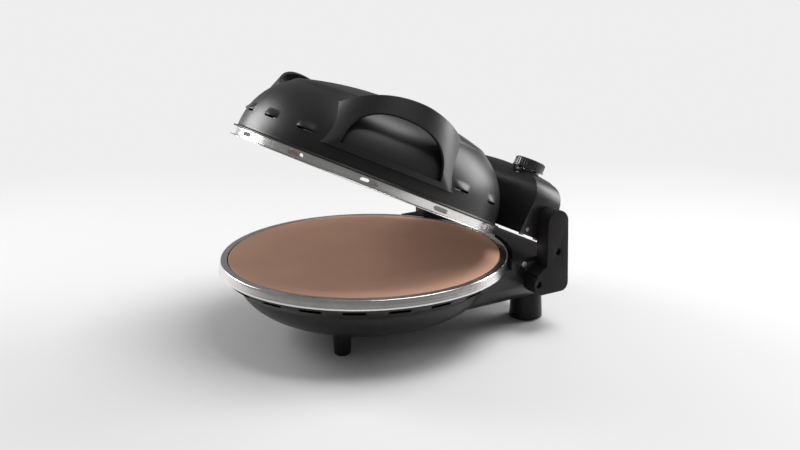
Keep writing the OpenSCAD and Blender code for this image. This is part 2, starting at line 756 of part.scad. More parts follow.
// Back of the dome where the upper element's legs leave it
function upper_bush_y() = let (r = dome_at(upper_z - element_d / 2 - 3))
    sqrt(r * r - pow(leg_x - element_d, 2)) + 0.8;
function upper_leg_end() = upper_bush_y() + 11.5;

module thermal_cutout() {
    color("#cfcfd2") lid_place() translate([40, 30, hollow_h + touch]) {
        cylinder(d = 16, h = 6, $fn = small_fn);
        cylinder(d = 9, h = 9, $fn = small_fn);
        for (s = [-1, 1]) translate([s * 6 - 1.5, -0.4, 5]) cube([3, 0.8, 8]);
    }
}

// Outline of the control housing from behind: an arched top with round ends
module box_front_view(inset) {
    x = box_x - inset;
    r = box_end_r - inset;
    top = box_top - inset;
    end_top = top - x * x / (2 * box_arch) + 6 * box_end_r / 36;
    cx = x - r;
    steps = 10;
    half = asin((x - r) / box_arch);
    polygon(concat([[-x, box_floor], [x, box_floor]],
        arc(cx, end_top - r, r, 0, 90 - half, 8),
        arc(0, top - box_arch, box_arch, 90 - half, 90 + half, steps),
        arc(-cx, end_top - r, r, 90 + half, 180, 8)));
}

// Outline of the control housing from the side
module box_side_view(inset) {
    front_r = 26 - inset;
    back_r = box_back_r - inset;
    top = box_top + 1 - inset;
    f = box_front + inset;
    b = box_back - inset;
    polygon(concat([[b, box_floor - 1]], arc(b - back_r, top - back_r, back_r, 0, 90, 8),
        arc(f + front_r + 5, top - front_r, front_r, 90, 172, 8), [[f, box_floor - 1]]));
}

module box_solid(inset) {
    intersection() {
        translate([0, box_back + 14, 0]) rotate([90, 0, 0]) linear_extrude(120) box_front_view(inset);
        translate([-tail_x - 5, 0, 0]) rotate([90, 0, 90]) linear_extrude(2 * tail_x + 10) box_side_view(inset);
    }
}

function housing_screw_spots() = [[box_x - 8, box_front + 10], [box_x - 8, box_back - 12]];
function side_screw() = [box_front + 9.5, box_floor + 6.6];
plate_t = 1.6;

module control_housing() {
    color("#1f1f22") lid_place() difference() {
        union() {
            difference() {
                box_solid(0);
                difference() {
                    box_solid(wall);
                    both_sides() translate([box_x - bush_len - 2, hinge_y, hinge_up]) rotate([0, 90, 0])
                        cylinder(r = boss_r, h = 40, $fn = 48);
                    both_sides() for (p = housing_screw_spots())
                        translate([p[0], p[1], box_floor + plate_t + touch])
                            cylinder(r = 6.5, h = 14, $fn = small_fn);
                }
            }
            // neck that carries the knob level on the arched top
            translate([knob_x, knob_y, knob_floor - 6]) cylinder(r = neck_r, h = 6, $fn = 64);
        }
        translate([knob_x, knob_y, knob_floor - wall - thermostat_drop]) difference() {
            cylinder(r = neck_r + 1, h = thermostat_drop, $fn = 64);
            translate([0, 0, thermostat_drop - 1.2]) cylinder(r = neck_r + 2, h = 9, $fn = 64);
        }
        dome_solid(-seam, 0);
        translate([0, 0, -1])
            cylinder(r = flange_r + rim_gap, h = flange_z + flange_t + 1 + rim_gap, $fn = 120);
        both_sides() translate([box_x - bush_len - 3, hinge_y, hinge_up]) rotate([0, 90, 0])
            cylinder(r = bush_r + 0.02, h = 60, $fn = 48);
        both_sides() for (p = housing_screw_spots()) translate([p[0], p[1], box_floor - 1])
            cylinder(r = screw_shank, h = 8, $fn = small_fn);
        both_sides() translate([box_x - 10, side_screw()[0], side_screw()[1]]) rotate([0, 90, 0])
            cylinder(r = 1.2, h = 20, $fn = small_fn);
        translate([knob_x, knob_y, knob_floor]) cylinder(r = knob_d / 2 + 1.5, h = 20, $fn = 64);
        translate([knob_x, knob_y, knob_floor - 10]) cylinder(r = shaft_d / 2 + 2.05, h = 20, $fn = 48);
        translate([-knob_x, knob_y, box_top - 16]) cylinder(r = 5.05, h = 30, $fn = small_fn);
    }
}

// Plate that closes the housing from below, flush inside its walls
module housing_floor() {
    color("#2a2a2c") lid_place() difference() {
        translate([-box_x + wall + rim_gap, box_front + wall + 1.5, box_floor])
            cube([2 * (box_x - wall - rim_gap), box_back - box_front - 2 * wall - 1.5 - rim_gap, plate_t]);
        dome_solid(-seam - wall, 0);
        both_sides() for (p = housing_screw_spots()) translate([p[0], p[1], 0])
            cylinder(r = screw_shank + 0.1, h = 30, $fn = small_fn);
    }
}

module housing_screws() {
    color("silver") lid_place() both_sides() {
        for (p = housing_screw_spots()) translate([p[0], p[1], box_floor]) mirror([0, 0, 1]) screw(5, 3);
        translate([box_x, side_screw()[0], side_screw()[1]]) rotate([0, 90, 0]) {
            translate([0, 0, touch]) cylinder(r = 2.4, h = 0.6, $fn = small_fn);
            translate([0, 0, -6]) cylinder(r = 1.18, h = 6.2, $fn = small_fn);
        }
    }
}

module hinge_bushes() {
    color("#b9a36a") lid_place() both_sides()
        translate([box_x - bush_len, hinge_y, hinge_up]) rotate([0, 90, 0]) difference() {
            cylinder(r = bush_r, h = bush_len, $fn = 48);
            translate([0, 0, -1]) cylinder(d = pin_d + 2 * pin_gap, h = bush_len + 2, $fn = 48);
        }
}

module thermostat_body() {
    color("#d9d5c8") lid_place() translate([knob_x, knob_y, thermostat_z()]) difference() {
        union() {
            cylinder(r = thermostat_r, h = thermostat_h, $fn = 64);
            cylinder(r = shaft_d / 2 + 2, h = thermostat_h + thermostat_drop + 1.5, $fn = 48);
            for (s = [-1, 1]) translate([s * 9 - 3, -0.4, -7]) cube([6, 0.8, 8]);
        }
        translate([0, 0, 5]) cylinder(d = shaft_d + 0.1, h = thermostat_h + 10, $fn = 48);
    }
}

function thermostat_z() = knob_floor - thermostat_drop - thermostat_h;

module thermostat_nut() {
    color("silver") lid_place() translate([knob_x, knob_y, knob_floor + touch]) difference() {
        cylinder(r = 8, h = knob_lift - 0.4, $fn = 6);
        translate([0, 0, -1]) cylinder(r = shaft_d / 2 + 2.05, h = 5, $fn = 48);
    }
}

module lid_terminal_block() {
    color("ivory") lid_place() translate([block_x, block_y(), box_floor + plate_t + touch]) terminal_block();
}

block_x = -98;
function block_y() = box_back - wall - 18;

module lid_wires() {
    z = box_floor + plate_t + 5.3;
    y = block_y() + 8;
    back = hinge_y + 4;
    color("#a33") lid_place() {
        wire([[block_x + 49.9, y, z], [block_x + 49.9, y, upper_z + 10], [-leg_x, back, upper_z + 10],
            [-leg_x, back, upper_z], [-leg_x, upper_leg_end() + 0.3, upper_z]]);
        wire([[block_x + 36.6, y, z], [block_x + 36.6, y, upper_z + 16], [leg_x, back, upper_z + 16],
            [leg_x, back, upper_z], [leg_x, upper_leg_end() + 0.3, upper_z]]);
        wire([[block_x + 23.3, y, z], [block_x + 23.3, y, upper_z + 22], [knob_x - 9, knob_y, upper_z + 22],
            [knob_x - 9, knob_y, thermostat_z() - 7.3]]);
        wire([[block_x + 10, y, z], [block_x + 10, y, upper_z + 16], [-knob_x, knob_y, upper_z + 16],
            [-knob_x, knob_y, box_top - 28.3]]);
    }
}

function lamp_seat() = box_top - knob_x * knob_x / (2 * box_arch);

module lamp_holder() {
    color("#e8e4d8") lid_place() translate([-knob_x, knob_y, box_top - 28])
        cylinder(r = 4.2, h = 22, $fn = small_fn);
}

module lamp_lens() {
    color("#b3261e") lid_place() translate([-knob_x, knob_y, 0]) {
        translate([0, 0, box_top - 6 + touch]) cylinder(r = 5, h = lamp_seat() - box_top + 7.3, $fn = small_fn);
        translate([0, 0, lamp_seat() + 1.2]) cylinder(r1 = 6.5, r2 = 5, h = 1.8, $fn = small_fn);
    }
}

module thermostat_shaft() {
    color("silver") lid_place() translate([knob_x, knob_y, thermostat_z() + 5.2])
        cylinder(d = shaft_d, h = thermostat_h + thermostat_drop + knob_lift + knob_h * 0.6 - 5.2, $fn = 48);
}

module thermostat_knob() {
    rise = knob_floor + knob_lift;
    color("#111113") lid_place() translate([knob_x, knob_y, rise]) difference() {
        union() {
            cylinder(d = knob_d, h = 1.6, $fn = 96);
            translate([0, 0, 1.6 - touch])
                cylinder(d1 = knob_d - 1.8, d2 = knob_d - 2.8, h = knob_h - 2.6, $fn = 96);
            translate([0, 0, knob_h - 1.1])
                cylinder(d1 = knob_d - 2.8, d2 = knob_d - 6, h = 1.1, $fn = 96);
            for (i = [0 : rib_count - 1]) rotate([0, 0, i * 360 / rib_count])
                translate([knob_d / 2 - 1.5, 0, 1.5]) cylinder(r = 0.7, h = knob_h - 3, $fn = 16);
        }
        translate([0, 0, -2]) cylinder(d = shaft_d + 0.02, h = knob_h * 0.6 + 2, $fn = 48);
        translate([0, 0, -touch]) difference() {
            cylinder(d = knob_d - 8, h = knob_h - 4, $fn = 64);
            cylinder(r = 6.5, h = knob_h, $fn = 48);
        }
        translate([-0.6, -knob_d / 2 + 4.4, knob_h - 0.6]) cube([1.2, 9, 1]);
    }
}

// The origin lies on the table under the middle of the whole oven
translate([0, -middle_y, 0]) {
    base_shell();
    bottom_cover();
    bottom_cover_screws();
    rear_deck();
    deck_screws();
    rim_ring();
    lower_pan();
    pizza_stone();
    lower_element();
    lower_element_clips();
    lower_element_bushes();
    base_terminal_block();
    base_wires();
    cord_inlet();
    front_feet();
    rear_feet();
    foot_pads();
    bracket_right();
    bracket_left();
    bracket_screws();
    hinge_pins();
    lid_dome();
    handle_right();
    handle_left();
    handle_screws();
    lid_band();
    lid_reflector();
    reflector_screws();
    upper_element();
    upper_element_clips();
    upper_element_bushes();
    thermal_cutout();
    control_housing();
    housing_floor();
    housing_screws();
    hinge_bushes();
    thermostat_body();
    thermostat_nut();
    lid_terminal_block();
    lid_wires();
    lamp_holder();
    lamp_lens();
    thermostat_shaft();
    thermostat_knob();
}
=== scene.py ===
import math

import bmesh
import bpy
import numpy as np
from bpy.props import FloatProperty, FloatVectorProperty, IntProperty, PointerProperty
from mathutils import Matrix, Vector


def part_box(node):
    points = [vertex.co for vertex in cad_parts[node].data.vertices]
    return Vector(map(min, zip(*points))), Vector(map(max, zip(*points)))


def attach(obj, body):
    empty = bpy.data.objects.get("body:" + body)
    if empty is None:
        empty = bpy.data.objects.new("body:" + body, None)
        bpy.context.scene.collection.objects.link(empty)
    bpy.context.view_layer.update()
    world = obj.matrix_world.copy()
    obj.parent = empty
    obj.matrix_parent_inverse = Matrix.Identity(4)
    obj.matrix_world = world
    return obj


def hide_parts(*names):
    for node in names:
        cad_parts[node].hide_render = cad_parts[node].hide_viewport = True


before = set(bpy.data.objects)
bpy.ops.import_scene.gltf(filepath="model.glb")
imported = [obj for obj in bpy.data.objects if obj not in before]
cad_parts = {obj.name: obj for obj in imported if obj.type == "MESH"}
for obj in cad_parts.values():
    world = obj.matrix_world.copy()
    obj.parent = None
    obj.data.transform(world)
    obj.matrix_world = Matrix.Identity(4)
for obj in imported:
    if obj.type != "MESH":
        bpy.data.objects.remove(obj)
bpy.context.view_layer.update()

bl_info = {
    "name": "Pizza Oven Builder",
    "version": (1, 0, 0),
    "blender": (4, 5, 0),
    "location": "3D View > Sidebar > Pizza Oven",
    "description": "Dresses the packed pizza oven with finished surfaces and sets up its studio",
    "category": "Object",
}

MM = 0.001


# ---------------------------------------------------------------- sizes and finishes


class OvenBaseSizes(bpy.types.PropertyGroup):
    """Sizes of the base, the ring and the stone."""

    rim_height: FloatProperty(
        name="Rim height", description="Top of the steel ring above the table",
        default=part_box("rim_ring")[1].z, unit="LENGTH")
    ring_radius: FloatProperty(
        name="Ring radius", description="Outer radius of the ring's flat top",
        default=0.1722, unit="LENGTH")
    ring_skirt: FloatProperty(
        name="Ring skirt", description="Height of the ring's flared skirt",
        default=0.0106, unit="LENGTH")
    stone_radius: FloatProperty(
        name="Stone radius", description="Radius of the baking stone",
        default=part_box("pizza_stone")[1].x, unit="LENGTH")
    stone_place: FloatProperty(
        name="Stone place", description="Middle of the baking stone along Y",
        default=(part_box("pizza_stone")[0].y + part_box("pizza_stone")[1].y) / 2, unit="LENGTH")
    stone_thickness: FloatProperty(
        name="Stone thickness", description="Thickness of the baking stone",
        default=0.014, unit="LENGTH")


class OvenLidSizes(bpy.types.PropertyGroup):
    """Sizes of the lid, measured with the lid shut and from the rim up."""

    hinge_back: FloatProperty(
        name="Hinge distance", description="Hinge axis behind the middle of the stone",
        default=0.178, unit="LENGTH")
    hinge_up: FloatProperty(
        name="Hinge height", description="Hinge axis above the rim", default=0.041, unit="LENGTH")
    open_angle: FloatProperty(
        name="Open angle", description="Angle at which the lid stands open",
        default=math.radians(25.7), subtype="ANGLE")
    dome_radius: FloatProperty(
        name="Dome radius", description="Radius of the dome at its flange",
        default=0.162, unit="LENGTH")
    side_arc: FloatProperty(
        name="Side arc", description="Radius of the arc that the dome's side follows",
        default=0.083, unit="LENGTH")
    crown_height: FloatProperty(
        name="Crown height", description="Top of the crown above the rim",
        default=0.106, unit="LENGTH")
    crown_arc: FloatProperty(
        name="Crown arc", description="Radius of the shallow crown", default=0.4, unit="LENGTH")
    flange_height: FloatProperty(
        name="Flange height", description="Underside of the dome's flange above the rim",
        default=0.0115, unit="LENGTH")
    shell: FloatProperty(
        name="Shell", description="Wall thickness of the dome", default=0.0025, unit="LENGTH")
    slot_count: IntProperty(
        name="Band holes", description="Oval air holes around the steel band",
        default=12, min=4, max=24)


class OvenHandleSizes(bpy.types.PropertyGroup):
    """Sizes of the two side handles, in the shut lid's frame."""

    bearing: FloatProperty(
        name="Bearing", description="Angle of a handle's middle forward of the side",
        default=math.radians(25), subtype="ANGLE")
    wall_radius: FloatProperty(
        name="Wall radius", description="Radius of the handle's outer wall",
        default=0.165, unit="LENGTH")
    plan_radius: FloatProperty(
        name="Plan radius", description="Radius of the handle's rounded plan near its top",
        default=0.068, unit="LENGTH")
    plan_middle: FloatProperty(
        name="Plan middle", description="Distance of that rounded plan from the dome's middle",
        default=0.0856, unit="LENGTH")
    lean: FloatProperty(
        name="Lean", description="Run of the handle's wall for each unit of height",
        default=0.383, min=0.0, max=1.0)
    top: FloatProperty(
        name="Top", description="Highest point of the handle above the rim",
        default=0.1025, unit="LENGTH")
    arch: FloatProperty(
        name="Arch", description="Radius of the handle's arched top", default=0.125, unit="LENGTH")
    opening_half: FloatProperty(
        name="Opening half length", description="Half the length of the finger opening",
        default=0.056, unit="LENGTH")
    opening_sill: FloatProperty(
        name="Opening sill", description="Sill of the finger opening above the rim",
        default=0.034, unit="LENGTH")
    opening_height: FloatProperty(
        name="Opening height", description="Height of the finger opening",
        default=0.0465, unit="LENGTH")


class OvenFinish(bpy.types.PropertyGroup):
    """Colours of the finishes."""

    shell_color: FloatVectorProperty(
        name="Shell", description="Moulded black shells", subtype="COLOR",
        default=(0.0105, 0.0096, 0.0100), min=0.0, max=1.0)
    steel_color: FloatVectorProperty(
        name="Steel", description="Polished steel ring and band", subtype="COLOR",
        default=(0.78, 0.77, 0.76), min=0.0, max=1.0)
    stone_color: FloatVectorProperty(
        name="Stone", description="Fired refractory stone", subtype="COLOR",
        default=(0.62, 0.36, 0.26), min=0.0, max=1.0)
    knob_color: FloatVectorProperty(
        name="Knob", description="Glossy black knob", subtype="COLOR",
        default=(0.010, 0.010, 0.011), min=0.0, max=1.0)


class OvenStage(bpy.types.PropertyGroup):
    """Camera, floor and lamps."""

    azimuth: FloatProperty(
        name="Azimuth", description="Bearing of the camera, to the right of the front",
        default=math.radians(59.005), subtype="ANGLE")
    elevation: FloatProperty(
        name="Elevation", description="Elevation of the camera",
        default=math.radians(15.969), subtype="ANGLE")
    roll: FloatProperty(
        name="Roll", description="Turn of the camera about its line of sight",
        default=math.radians(-0.526), subtype="ANGLE")
    distance: FloatProperty(
        name="Distance", description="Distance of the camera from the middle of the rim",
        default=1.16325, unit="LENGTH")
    focal_length: FloatProperty(
        name="Focal length", description="Lens of the camera in millimetres",
        default=43.2405, min=10.0)
    ambient: FloatProperty(
        name="Ambient", description="Strength of the even light from all round",
        default=0.2, min=0.0)
    floor_color: FloatVectorProperty(
        name="Floor", description="Pale floor", subtype="COLOR",
        default=(0.82, 0.82, 0.82), min=0.0, max=1.0)
    backdrop_color: FloatVectorProperty(
        name="Backdrop", description="Light far from the oven and behind it", subtype="COLOR",
        default=(0.86, 0.86, 0.86), min=0.0, max=1.0)


# ---------------------------------------------------------------- mesh tools


def lid_place(points):
    """Turns points of the shut lid, z counted from the rim, to the standing lid.

    A point is taken from the hinge axis, turned about it by the open angle with the front
    going up, and put back at the hinge's place above the table.
    """
    lid, base = bpy.context.scene.oven_lid, bpy.context.scene.oven_base
    c, s = math.cos(lid.open_angle), math.sin(lid.open_angle)
    y = points[..., 1] - lid.hinge_back
    z = points[..., 2] - lid.hinge_up
    return np.stack([
        points[..., 0],
        base.stone_place + lid.hinge_back + y * c + z * s,
        base.rim_height + lid.hinge_up - y * s + z * c,
    ], axis=-1)


def rim_place(points):
    """Moves points counted from the middle of the rim to their place above the table."""
    base = bpy.context.scene.oven_base
    return points + np.array([0.0, base.stone_place, base.rim_height])


def finish_mesh(name, points, faces, body, material, nodes=(), sharp=35.0):
    """Makes one object from points and faces, welds it and turns its faces outwards."""
    mesh = bpy.data.meshes.new(name)
    mesh.from_pydata(np.asarray(points, float).tolist(), [], faces)
    work = bmesh.new()
    work.from_mesh(mesh)
    bmesh.ops.remove_doubles(work, verts=work.verts, dist=2e-6)
    bmesh.ops.dissolve_degenerate(work, edges=work.edges, dist=1e-7)
    if work.calc_volume(signed=True) < 0:
        bmesh.ops.reverse_faces(work, faces=work.faces)
    work.to_mesh(mesh)
    work.free()
    mesh.shade_smooth()
    mesh.set_sharp_from_angle(angle=math.radians(sharp))
    mesh.materials.append(material)
    piece = bpy.data.objects.new(name, mesh)
    bpy.context.scene.collection.objects.link(piece)
    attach(piece, body)
    if nodes:
        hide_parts(*nodes)
    return piece


def quads(a, b, c, d):
    """Quads from four arrays of vertex numbers, as a list of faces."""
    return np.stack([a.ravel(), b.ravel(), c.ravel(), d.ravel()], axis=-1).tolist()


def grid_faces(rows, columns, start=0, wrap_rows=False, wrap_columns=False, flip=False):
    """Quads of a grid of rows by columns that is numbered row by row from start."""
    i = np.arange(rows if wrap_rows else rows - 1)
    j = np.arange(columns if wrap_columns else columns - 1)
    i, j = np.meshgrid(i, j, indexing="ij")
    i2, j2 = (i + 1) % rows, (j + 1) % columns
    a, b = start + i * columns + j, start + i2 * columns + j
    c, d = start + i2 * columns + j2, start + i * columns + j2
    return quads(a, d, c, b) if flip else quads(a, b, c, d)


def revolve(profile, steps=180):
    """Closed solid of revolution about Z of a closed profile of (radius, height) points.

    Point (i, j) is (r_j cos t_i, r_j sin t_i, z_j) with t_i evenly spread round the circle.
    """
    t = np.linspace(0, 2 * np.pi, steps, endpoint=False)[:, None]
    r, z = np.asarray(profile, float).T
    points = np.stack([r * np.cos(t), r * np.sin(t), z + 0 * t], axis=-1)
    faces = grid_faces(steps, len(r), wrap_rows=True, wrap_columns=True)
    return points.reshape(-1, 3), faces


def arc(cx, cy, r, a, b, n):
    """Points of a circular arc from angle a to b in degrees, as an n by 2 array."""
    t = np.radians(np.linspace(a, b, n))
    return np.stack([cx + r * np.cos(t), cy + r * np.sin(t)], axis=-1)


def oval(direction, a, b, power):
    """Superellipse: the point of |x/a|^p + |y/b|^p = 1 for each direction angle."""
    c, s = np.cos(direction), np.sin(direction)
    return np.stack([a * np.sign(c) * np.abs(c) ** (2 / power),
                     b * np.sign(s) * np.abs(s) ** (2 / power)], axis=-1)


def pierced_shell(outer, inner, us, vs, holes, wrap=True, rings=3):
    """Closed shell between two surfaces over one grid of parameters, with holes through it.

    outer and inner turn arrays (u, v) into points. Each hole is a rectangle of grid cells
    (i0, i1, j0, j1) about a middle (u, v) and is an oval of half sizes a and b: the cells of
    the rectangle go, and rings of quads run from its edge in to the oval. Walls join the
    outer and inner surfaces round each oval and along the open edges.
    """
    nu, nv = len(us), len(vs)
    U, V = np.meshgrid(us, vs, indexing="ij")
    params = [np.stack([U.ravel(), V.ravel()], axis=-1)]
    count = nu * nv
    cells_u = nu if wrap else nu - 1
    keep = np.ones((cells_u, nv - 1), bool)
    period = 2 * np.pi
    ring_faces, wall_loops = [], []
    for h in holes:
        i0, i1, j0, j1 = h["cells"]
        for i in range(i0, i1):
            keep[i % nu, j0:j1] = False
        i = np.concatenate([np.arange(i0, i1), np.full(j1 - j0, i1),
                            np.arange(i1, i0, -1), np.full(j1 - j0, i0)])
        j = np.concatenate([np.full(i1 - i0, j0), np.arange(j0, j1),
                            np.full(i1 - i0, j1), np.arange(j1, j0, -1)])
        edge = (i % nu) * nv + j
        u = us[i % nu] + period * (i // nu) if wrap else us[i]
        v = vs[j]
        half_u, half_v = (u.max() - u.min()) / 2, (v.max() - v.min()) / 2
        direction = np.arctan2((v - h["v"]) / half_v, (u - h["u"]) / half_u)
        goal = oval(direction, h["a"], h["b"], h.get("power", 3.0)) + [h["u"], h["v"]]
        start = np.stack([u, v], axis=-1)
        last = edge
        for k in range(1, rings + 1):
            w = (k / rings) ** 0.8
            params.append(start * (1 - w) + goal * w)
            now = count + np.arange(len(edge))
            count += len(edge)
            ring_faces.append(np.stack(
                [last, np.roll(last, -1), np.roll(now, -1), now], axis=-1))
            last = now
        wall_loops.append(last)
    params = np.concatenate(params)
    points = np.concatenate([outer(params[:, 0], params[:, 1]), inner(params[:, 0], params[:, 1])])
    ci, cj = np.nonzero(keep)
    ci2 = (ci + 1) % nu
    cell = np.stack([ci * nv + cj, ci2 * nv + cj, ci2 * nv + cj + 1, ci * nv + cj + 1], axis=-1)
    front = np.concatenate([cell] + ring_faces)
    faces = [front, front[:, ::-1] + count]
    for loop in wall_loops:
        nxt = np.roll(loop, -1)
        faces.append(np.stack([loop, nxt, nxt + count, loop + count], axis=-1))
    a = np.arange(cells_u)
    b = (a + 1) % nu
    faces.append(np.stack([b * nv, a * nv, a * nv + count, b * nv + count], axis=-1))
    top_a, top_b = a * nv + nv - 1, b * nv + nv - 1
    faces.append(np.stack([top_a, top_b, top_b + count, top_a + count], axis=-1))
    if not wrap:
        j = np.arange(nv - 1)
        faces.append(np.stack([j, j + 1, j + 1 + count, j + count], axis=-1))
        j = j + (nu - 1) * nv
        faces.append(np.stack([j + 1, j, j + count, j + 1 + count], axis=-1))
    return points, np.concatenate(faces).tolist()


def spread(lines, low, high, step):
    """Sorted parameter values with the given lines among them and no gap above step."""
    lines = np.unique(np.round(np.concatenate([[low], lines, [high]]), 9))
    out = [lines[:1]]
    for a, b in zip(lines[:-1], lines[1:]):
        n = max(1, math.ceil((b - a) / step - 1e-6))
        out.append(np.linspace(a, b, n + 1)[1:])
    return np.concatenate(out)


def along(length, points, v):
    """Point of a line at arc length v."""
    return np.stack([np.interp(v, length, points[:, k]) for k in range(points.shape[1])], axis=-1)


def softened(node, name, body, material, width, segments=2, angle=30.0, sharp=40.0):
    """A copy of a CAD node with its triangles welded and its hard edges rounded."""
    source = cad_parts[node]
    mesh = source.data.copy()
    mesh.name = name
    work = bmesh.new()
    work.from_mesh(mesh)
    bmesh.ops.remove_doubles(work, verts=work.verts, dist=1e-6)
    bmesh.ops.dissolve_limit(work, angle_limit=math.radians(0.4), verts=work.verts,
                             edges=work.edges)
    hard = [e for e in work.edges
            if e.is_manifold and e.calc_face_angle(0.0) > math.radians(angle)]
    bmesh.ops.bevel(work, geom=hard, offset=width, offset_type="OFFSET", segments=segments,
                    profile=0.5, affect="EDGES", clamp_overlap=True)
    bmesh.ops.triangulate(work, faces=[f for f in work.faces if len(f.verts) > 4])
    work.to_mesh(mesh)
    work.free()
    mesh.materials.clear()
    mesh.materials.append(material)
    mesh.shade_smooth()
    mesh.set_sharp_from_angle(angle=math.radians(sharp))
    piece = bpy.data.objects.new(name, mesh)
    bpy.context.scene.collection.objects.link(piece)
    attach(piece, body)
    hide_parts(node)
    return piece


# ---------------------------------------------------------------- shared effects


def new_group(name, inputs, outputs):
    """An empty shader group with named inputs (name, kind, default) and outputs."""
    group = bpy.data.node_groups.new(name, "ShaderNodeTree")
    for label, kind, default in inputs:
        socket = group.interface.new_socket(name=label, in_out="INPUT", socket_type=kind)
        if default is not None:
            socket.default_value = default
    for label, kind in outputs:
        group.interface.new_socket(name=label, in_out="OUTPUT", socket_type=kind)
    return group, group.nodes.new("NodeGroupInput"), group.nodes.new("NodeGroupOutput")


class Net:
    """Short names for adding and joining nodes of one tree."""

    def __init__(self, tree):
        self.tree = tree

    def add(self, kind, values=(), **settings):
        node = self.tree.nodes.new(kind)
        for key, value in settings.items():
            setattr(node, key, value)
        for key, value in dict(values).items():
            node.inputs[key].default_value = value
        return node

    def join(self, out_socket, in_socket):
        self.tree.links.new(out_socket, in_socket)

    def math(self, operation, a, b=None, clamp=False):
        node = self.add("ShaderNodeMath", operation=operation, use_clamp=clamp)
        for k, value in enumerate((a, b)):
            if value is None:
                continue
            if isinstance(value, (int, float)):
                node.inputs[k].default_value = value
            else:
                self.join(value, node.inputs[k])
        return node.outputs[0]

    def noise(self, vector, scale, detail=3.0, rough=0.5, distortion=0.0):
        node = self.add("ShaderNodeTexNoise", {"Detail": detail, "Roughness": rough,
                                               "Distortion": distortion})
        if isinstance(scale, (int, float)):
            node.inputs["Scale"].default_value = scale
        else:
            self.join(scale, node.inputs["Scale"])
        self.join(vector, node.inputs["Vector"])
        return node.outputs["Fac"]

    def remap(self, value, a, b, c, d):
        node = self.add("ShaderNodeMapRange", {"From Min": a, "From Max": b, "To Min": c,
                                               "To Max": d})
        self.join(value, node.inputs["Value"])
        return node.outputs["Result"]

    def mix(self, fac, a, b):
        node = self.add("ShaderNodeMix", data_type="RGBA")
        for socket, value in ((node.inputs[0], fac), (node.inputs[6], a), (node.inputs[7], b)):
            if isinstance(value, (int, float)):
                socket.default_value = value
            elif isinstance(value, tuple):
                socket.default_value = value
            else:
                self.join(value, socket)
        return node.outputs[2]


def moulded_grain_group():
    """Fine spark-eroded grain of a moulded shell with faint flow marks and handling marks."""
    group, inp, out = new_group("moulded_grain", [
        ("Vector", "NodeSocketVector", None), ("Grain", "NodeSocketFloat", 900.0),
        ("Marks", "NodeSocketFloat", 9.0),
    ], [("Height", "NodeSocketFloat"), ("Shade", "NodeSocketFloat"), ("Gloss", "NodeSocketFloat")])
    net = Net(group)
    grain = net.noise(inp.outputs["Vector"], inp.outputs["Grain"], 2.0, 0.55)
    marks = net.noise(inp.outputs["Vector"], inp.outputs["Marks"], 5.0, 0.6, 0.4)
    cloud = net.noise(inp.outputs["Vector"], 3.1, 2.0, 0.5)
    net.join(grain, out.inputs["Height"])
    net.join(net.remap(cloud, 0.3, 0.7, 0.0, 1.0), out.inputs["Shade"])
    net.join(net.remap(marks, 0.35, 0.75, 0.0, 1.0), out.inputs["Gloss"])
    return group


def turned_steel_group():
    """Fine lines that run round an axis, as a lathe or a polishing wheel leaves them.

    The vector is turned to radius, angle and height, and a noise is read that is fine
    across the lines and long along them.
    """
    group, inp, out = new_group("turned_steel", [
        ("Vector", "NodeSocketVector", None), ("Across", "NodeSocketFloat", 2600.0),
        ("Around", "NodeSocketFloat", 5.0),
    ], [("Height", "NodeSocketFloat"), ("Streak", "NodeSocketFloat"), ("Smudge", "NodeSocketFloat")])
    net = Net(group)
    split = net.add("ShaderNodeSeparateXYZ")
    net.join(inp.outputs["Vector"], split.inputs[0])
    x, y, z = split.outputs
    radius = net.math("SQRT", net.math("ADD", net.math("MULTIPLY", x, x), net.math("MULTIPLY", y, y)))
    turn = net.math("ARCTAN2", y, x)
    pack = net.add("ShaderNodeCombineXYZ")
    net.join(net.math("MULTIPLY", radius, inp.outputs["Across"]), pack.inputs[0])
    net.join(net.math("MULTIPLY", turn, inp.outputs["Around"]), pack.inputs[1])
    net.join(net.math("MULTIPLY", z, inp.outputs["Across"]), pack.inputs[2])
    fine = net.noise(pack.outputs[0], 1.0, 2.0, 0.6)
    broad = net.noise(pack.outputs[0], 0.12, 3.0, 0.5)
    smudge = net.noise(inp.outputs["Vector"], 26.0, 4.0, 0.65, 0.6)
    net.join(fine, out.inputs["Height"])
    net.join(net.remap(broad, 0.3, 0.7, 0.0, 1.0), out.inputs["Streak"])
    net.join(net.remap(smudge, 0.42, 0.75, 0.0, 1.0), out.inputs["Smudge"])
    return group


def soot_group():
    """Brown heat marks and fine dust, as patches with soft edges."""
    group, inp, out = new_group("heat_marks", [
        ("Vector", "NodeSocketVector", None), ("Size", "NodeSocketFloat", 30.0),
        ("Amount", "NodeSocketFloat", 0.5),
    ], [("Mask", "NodeSocketFloat")])
    net = Net(group)
    patch = net.noise(inp.outputs["Vector"], inp.outputs["Size"], 6.0, 0.62, 0.8)
    mask = net.math("SUBTRACT", patch, net.math("SUBTRACT", 0.75, net.math(
        "MULTIPLY", inp.outputs["Amount"], 0.4)))
    net.join(net.math("MULTIPLY", mask, 5.0, clamp=True), out.inputs["Mask"])
    return group


GROUPS = {}


def shared(name):
    """The shared effect of that name, built once."""
    makers = {"moulded_grain": moulded_grain_group, "turned_steel": turned_steel_group,
              "heat_marks": soot_group}
    if name not in GROUPS:
        GROUPS[name] = makers[name]()
    return GROUPS[name]


def blank_material(name, **settings):
    """A material with one Principled shader set to the given values."""
    material = bpy.data.materials.new(name)
    material.use_nodes = True
    material.node_tree.nodes.clear()
    net = Net(material.node_tree)
    shader = net.add("ShaderNodeBsdfPrincipled", settings)
    net.output = net.add("ShaderNodeOutputMaterial")
    net.join(shader.outputs[0], net.output.inputs["Surface"])
    coords = net.add("ShaderNodeTexCoord")
    return material, net, shader, coords.outputs["Object"]


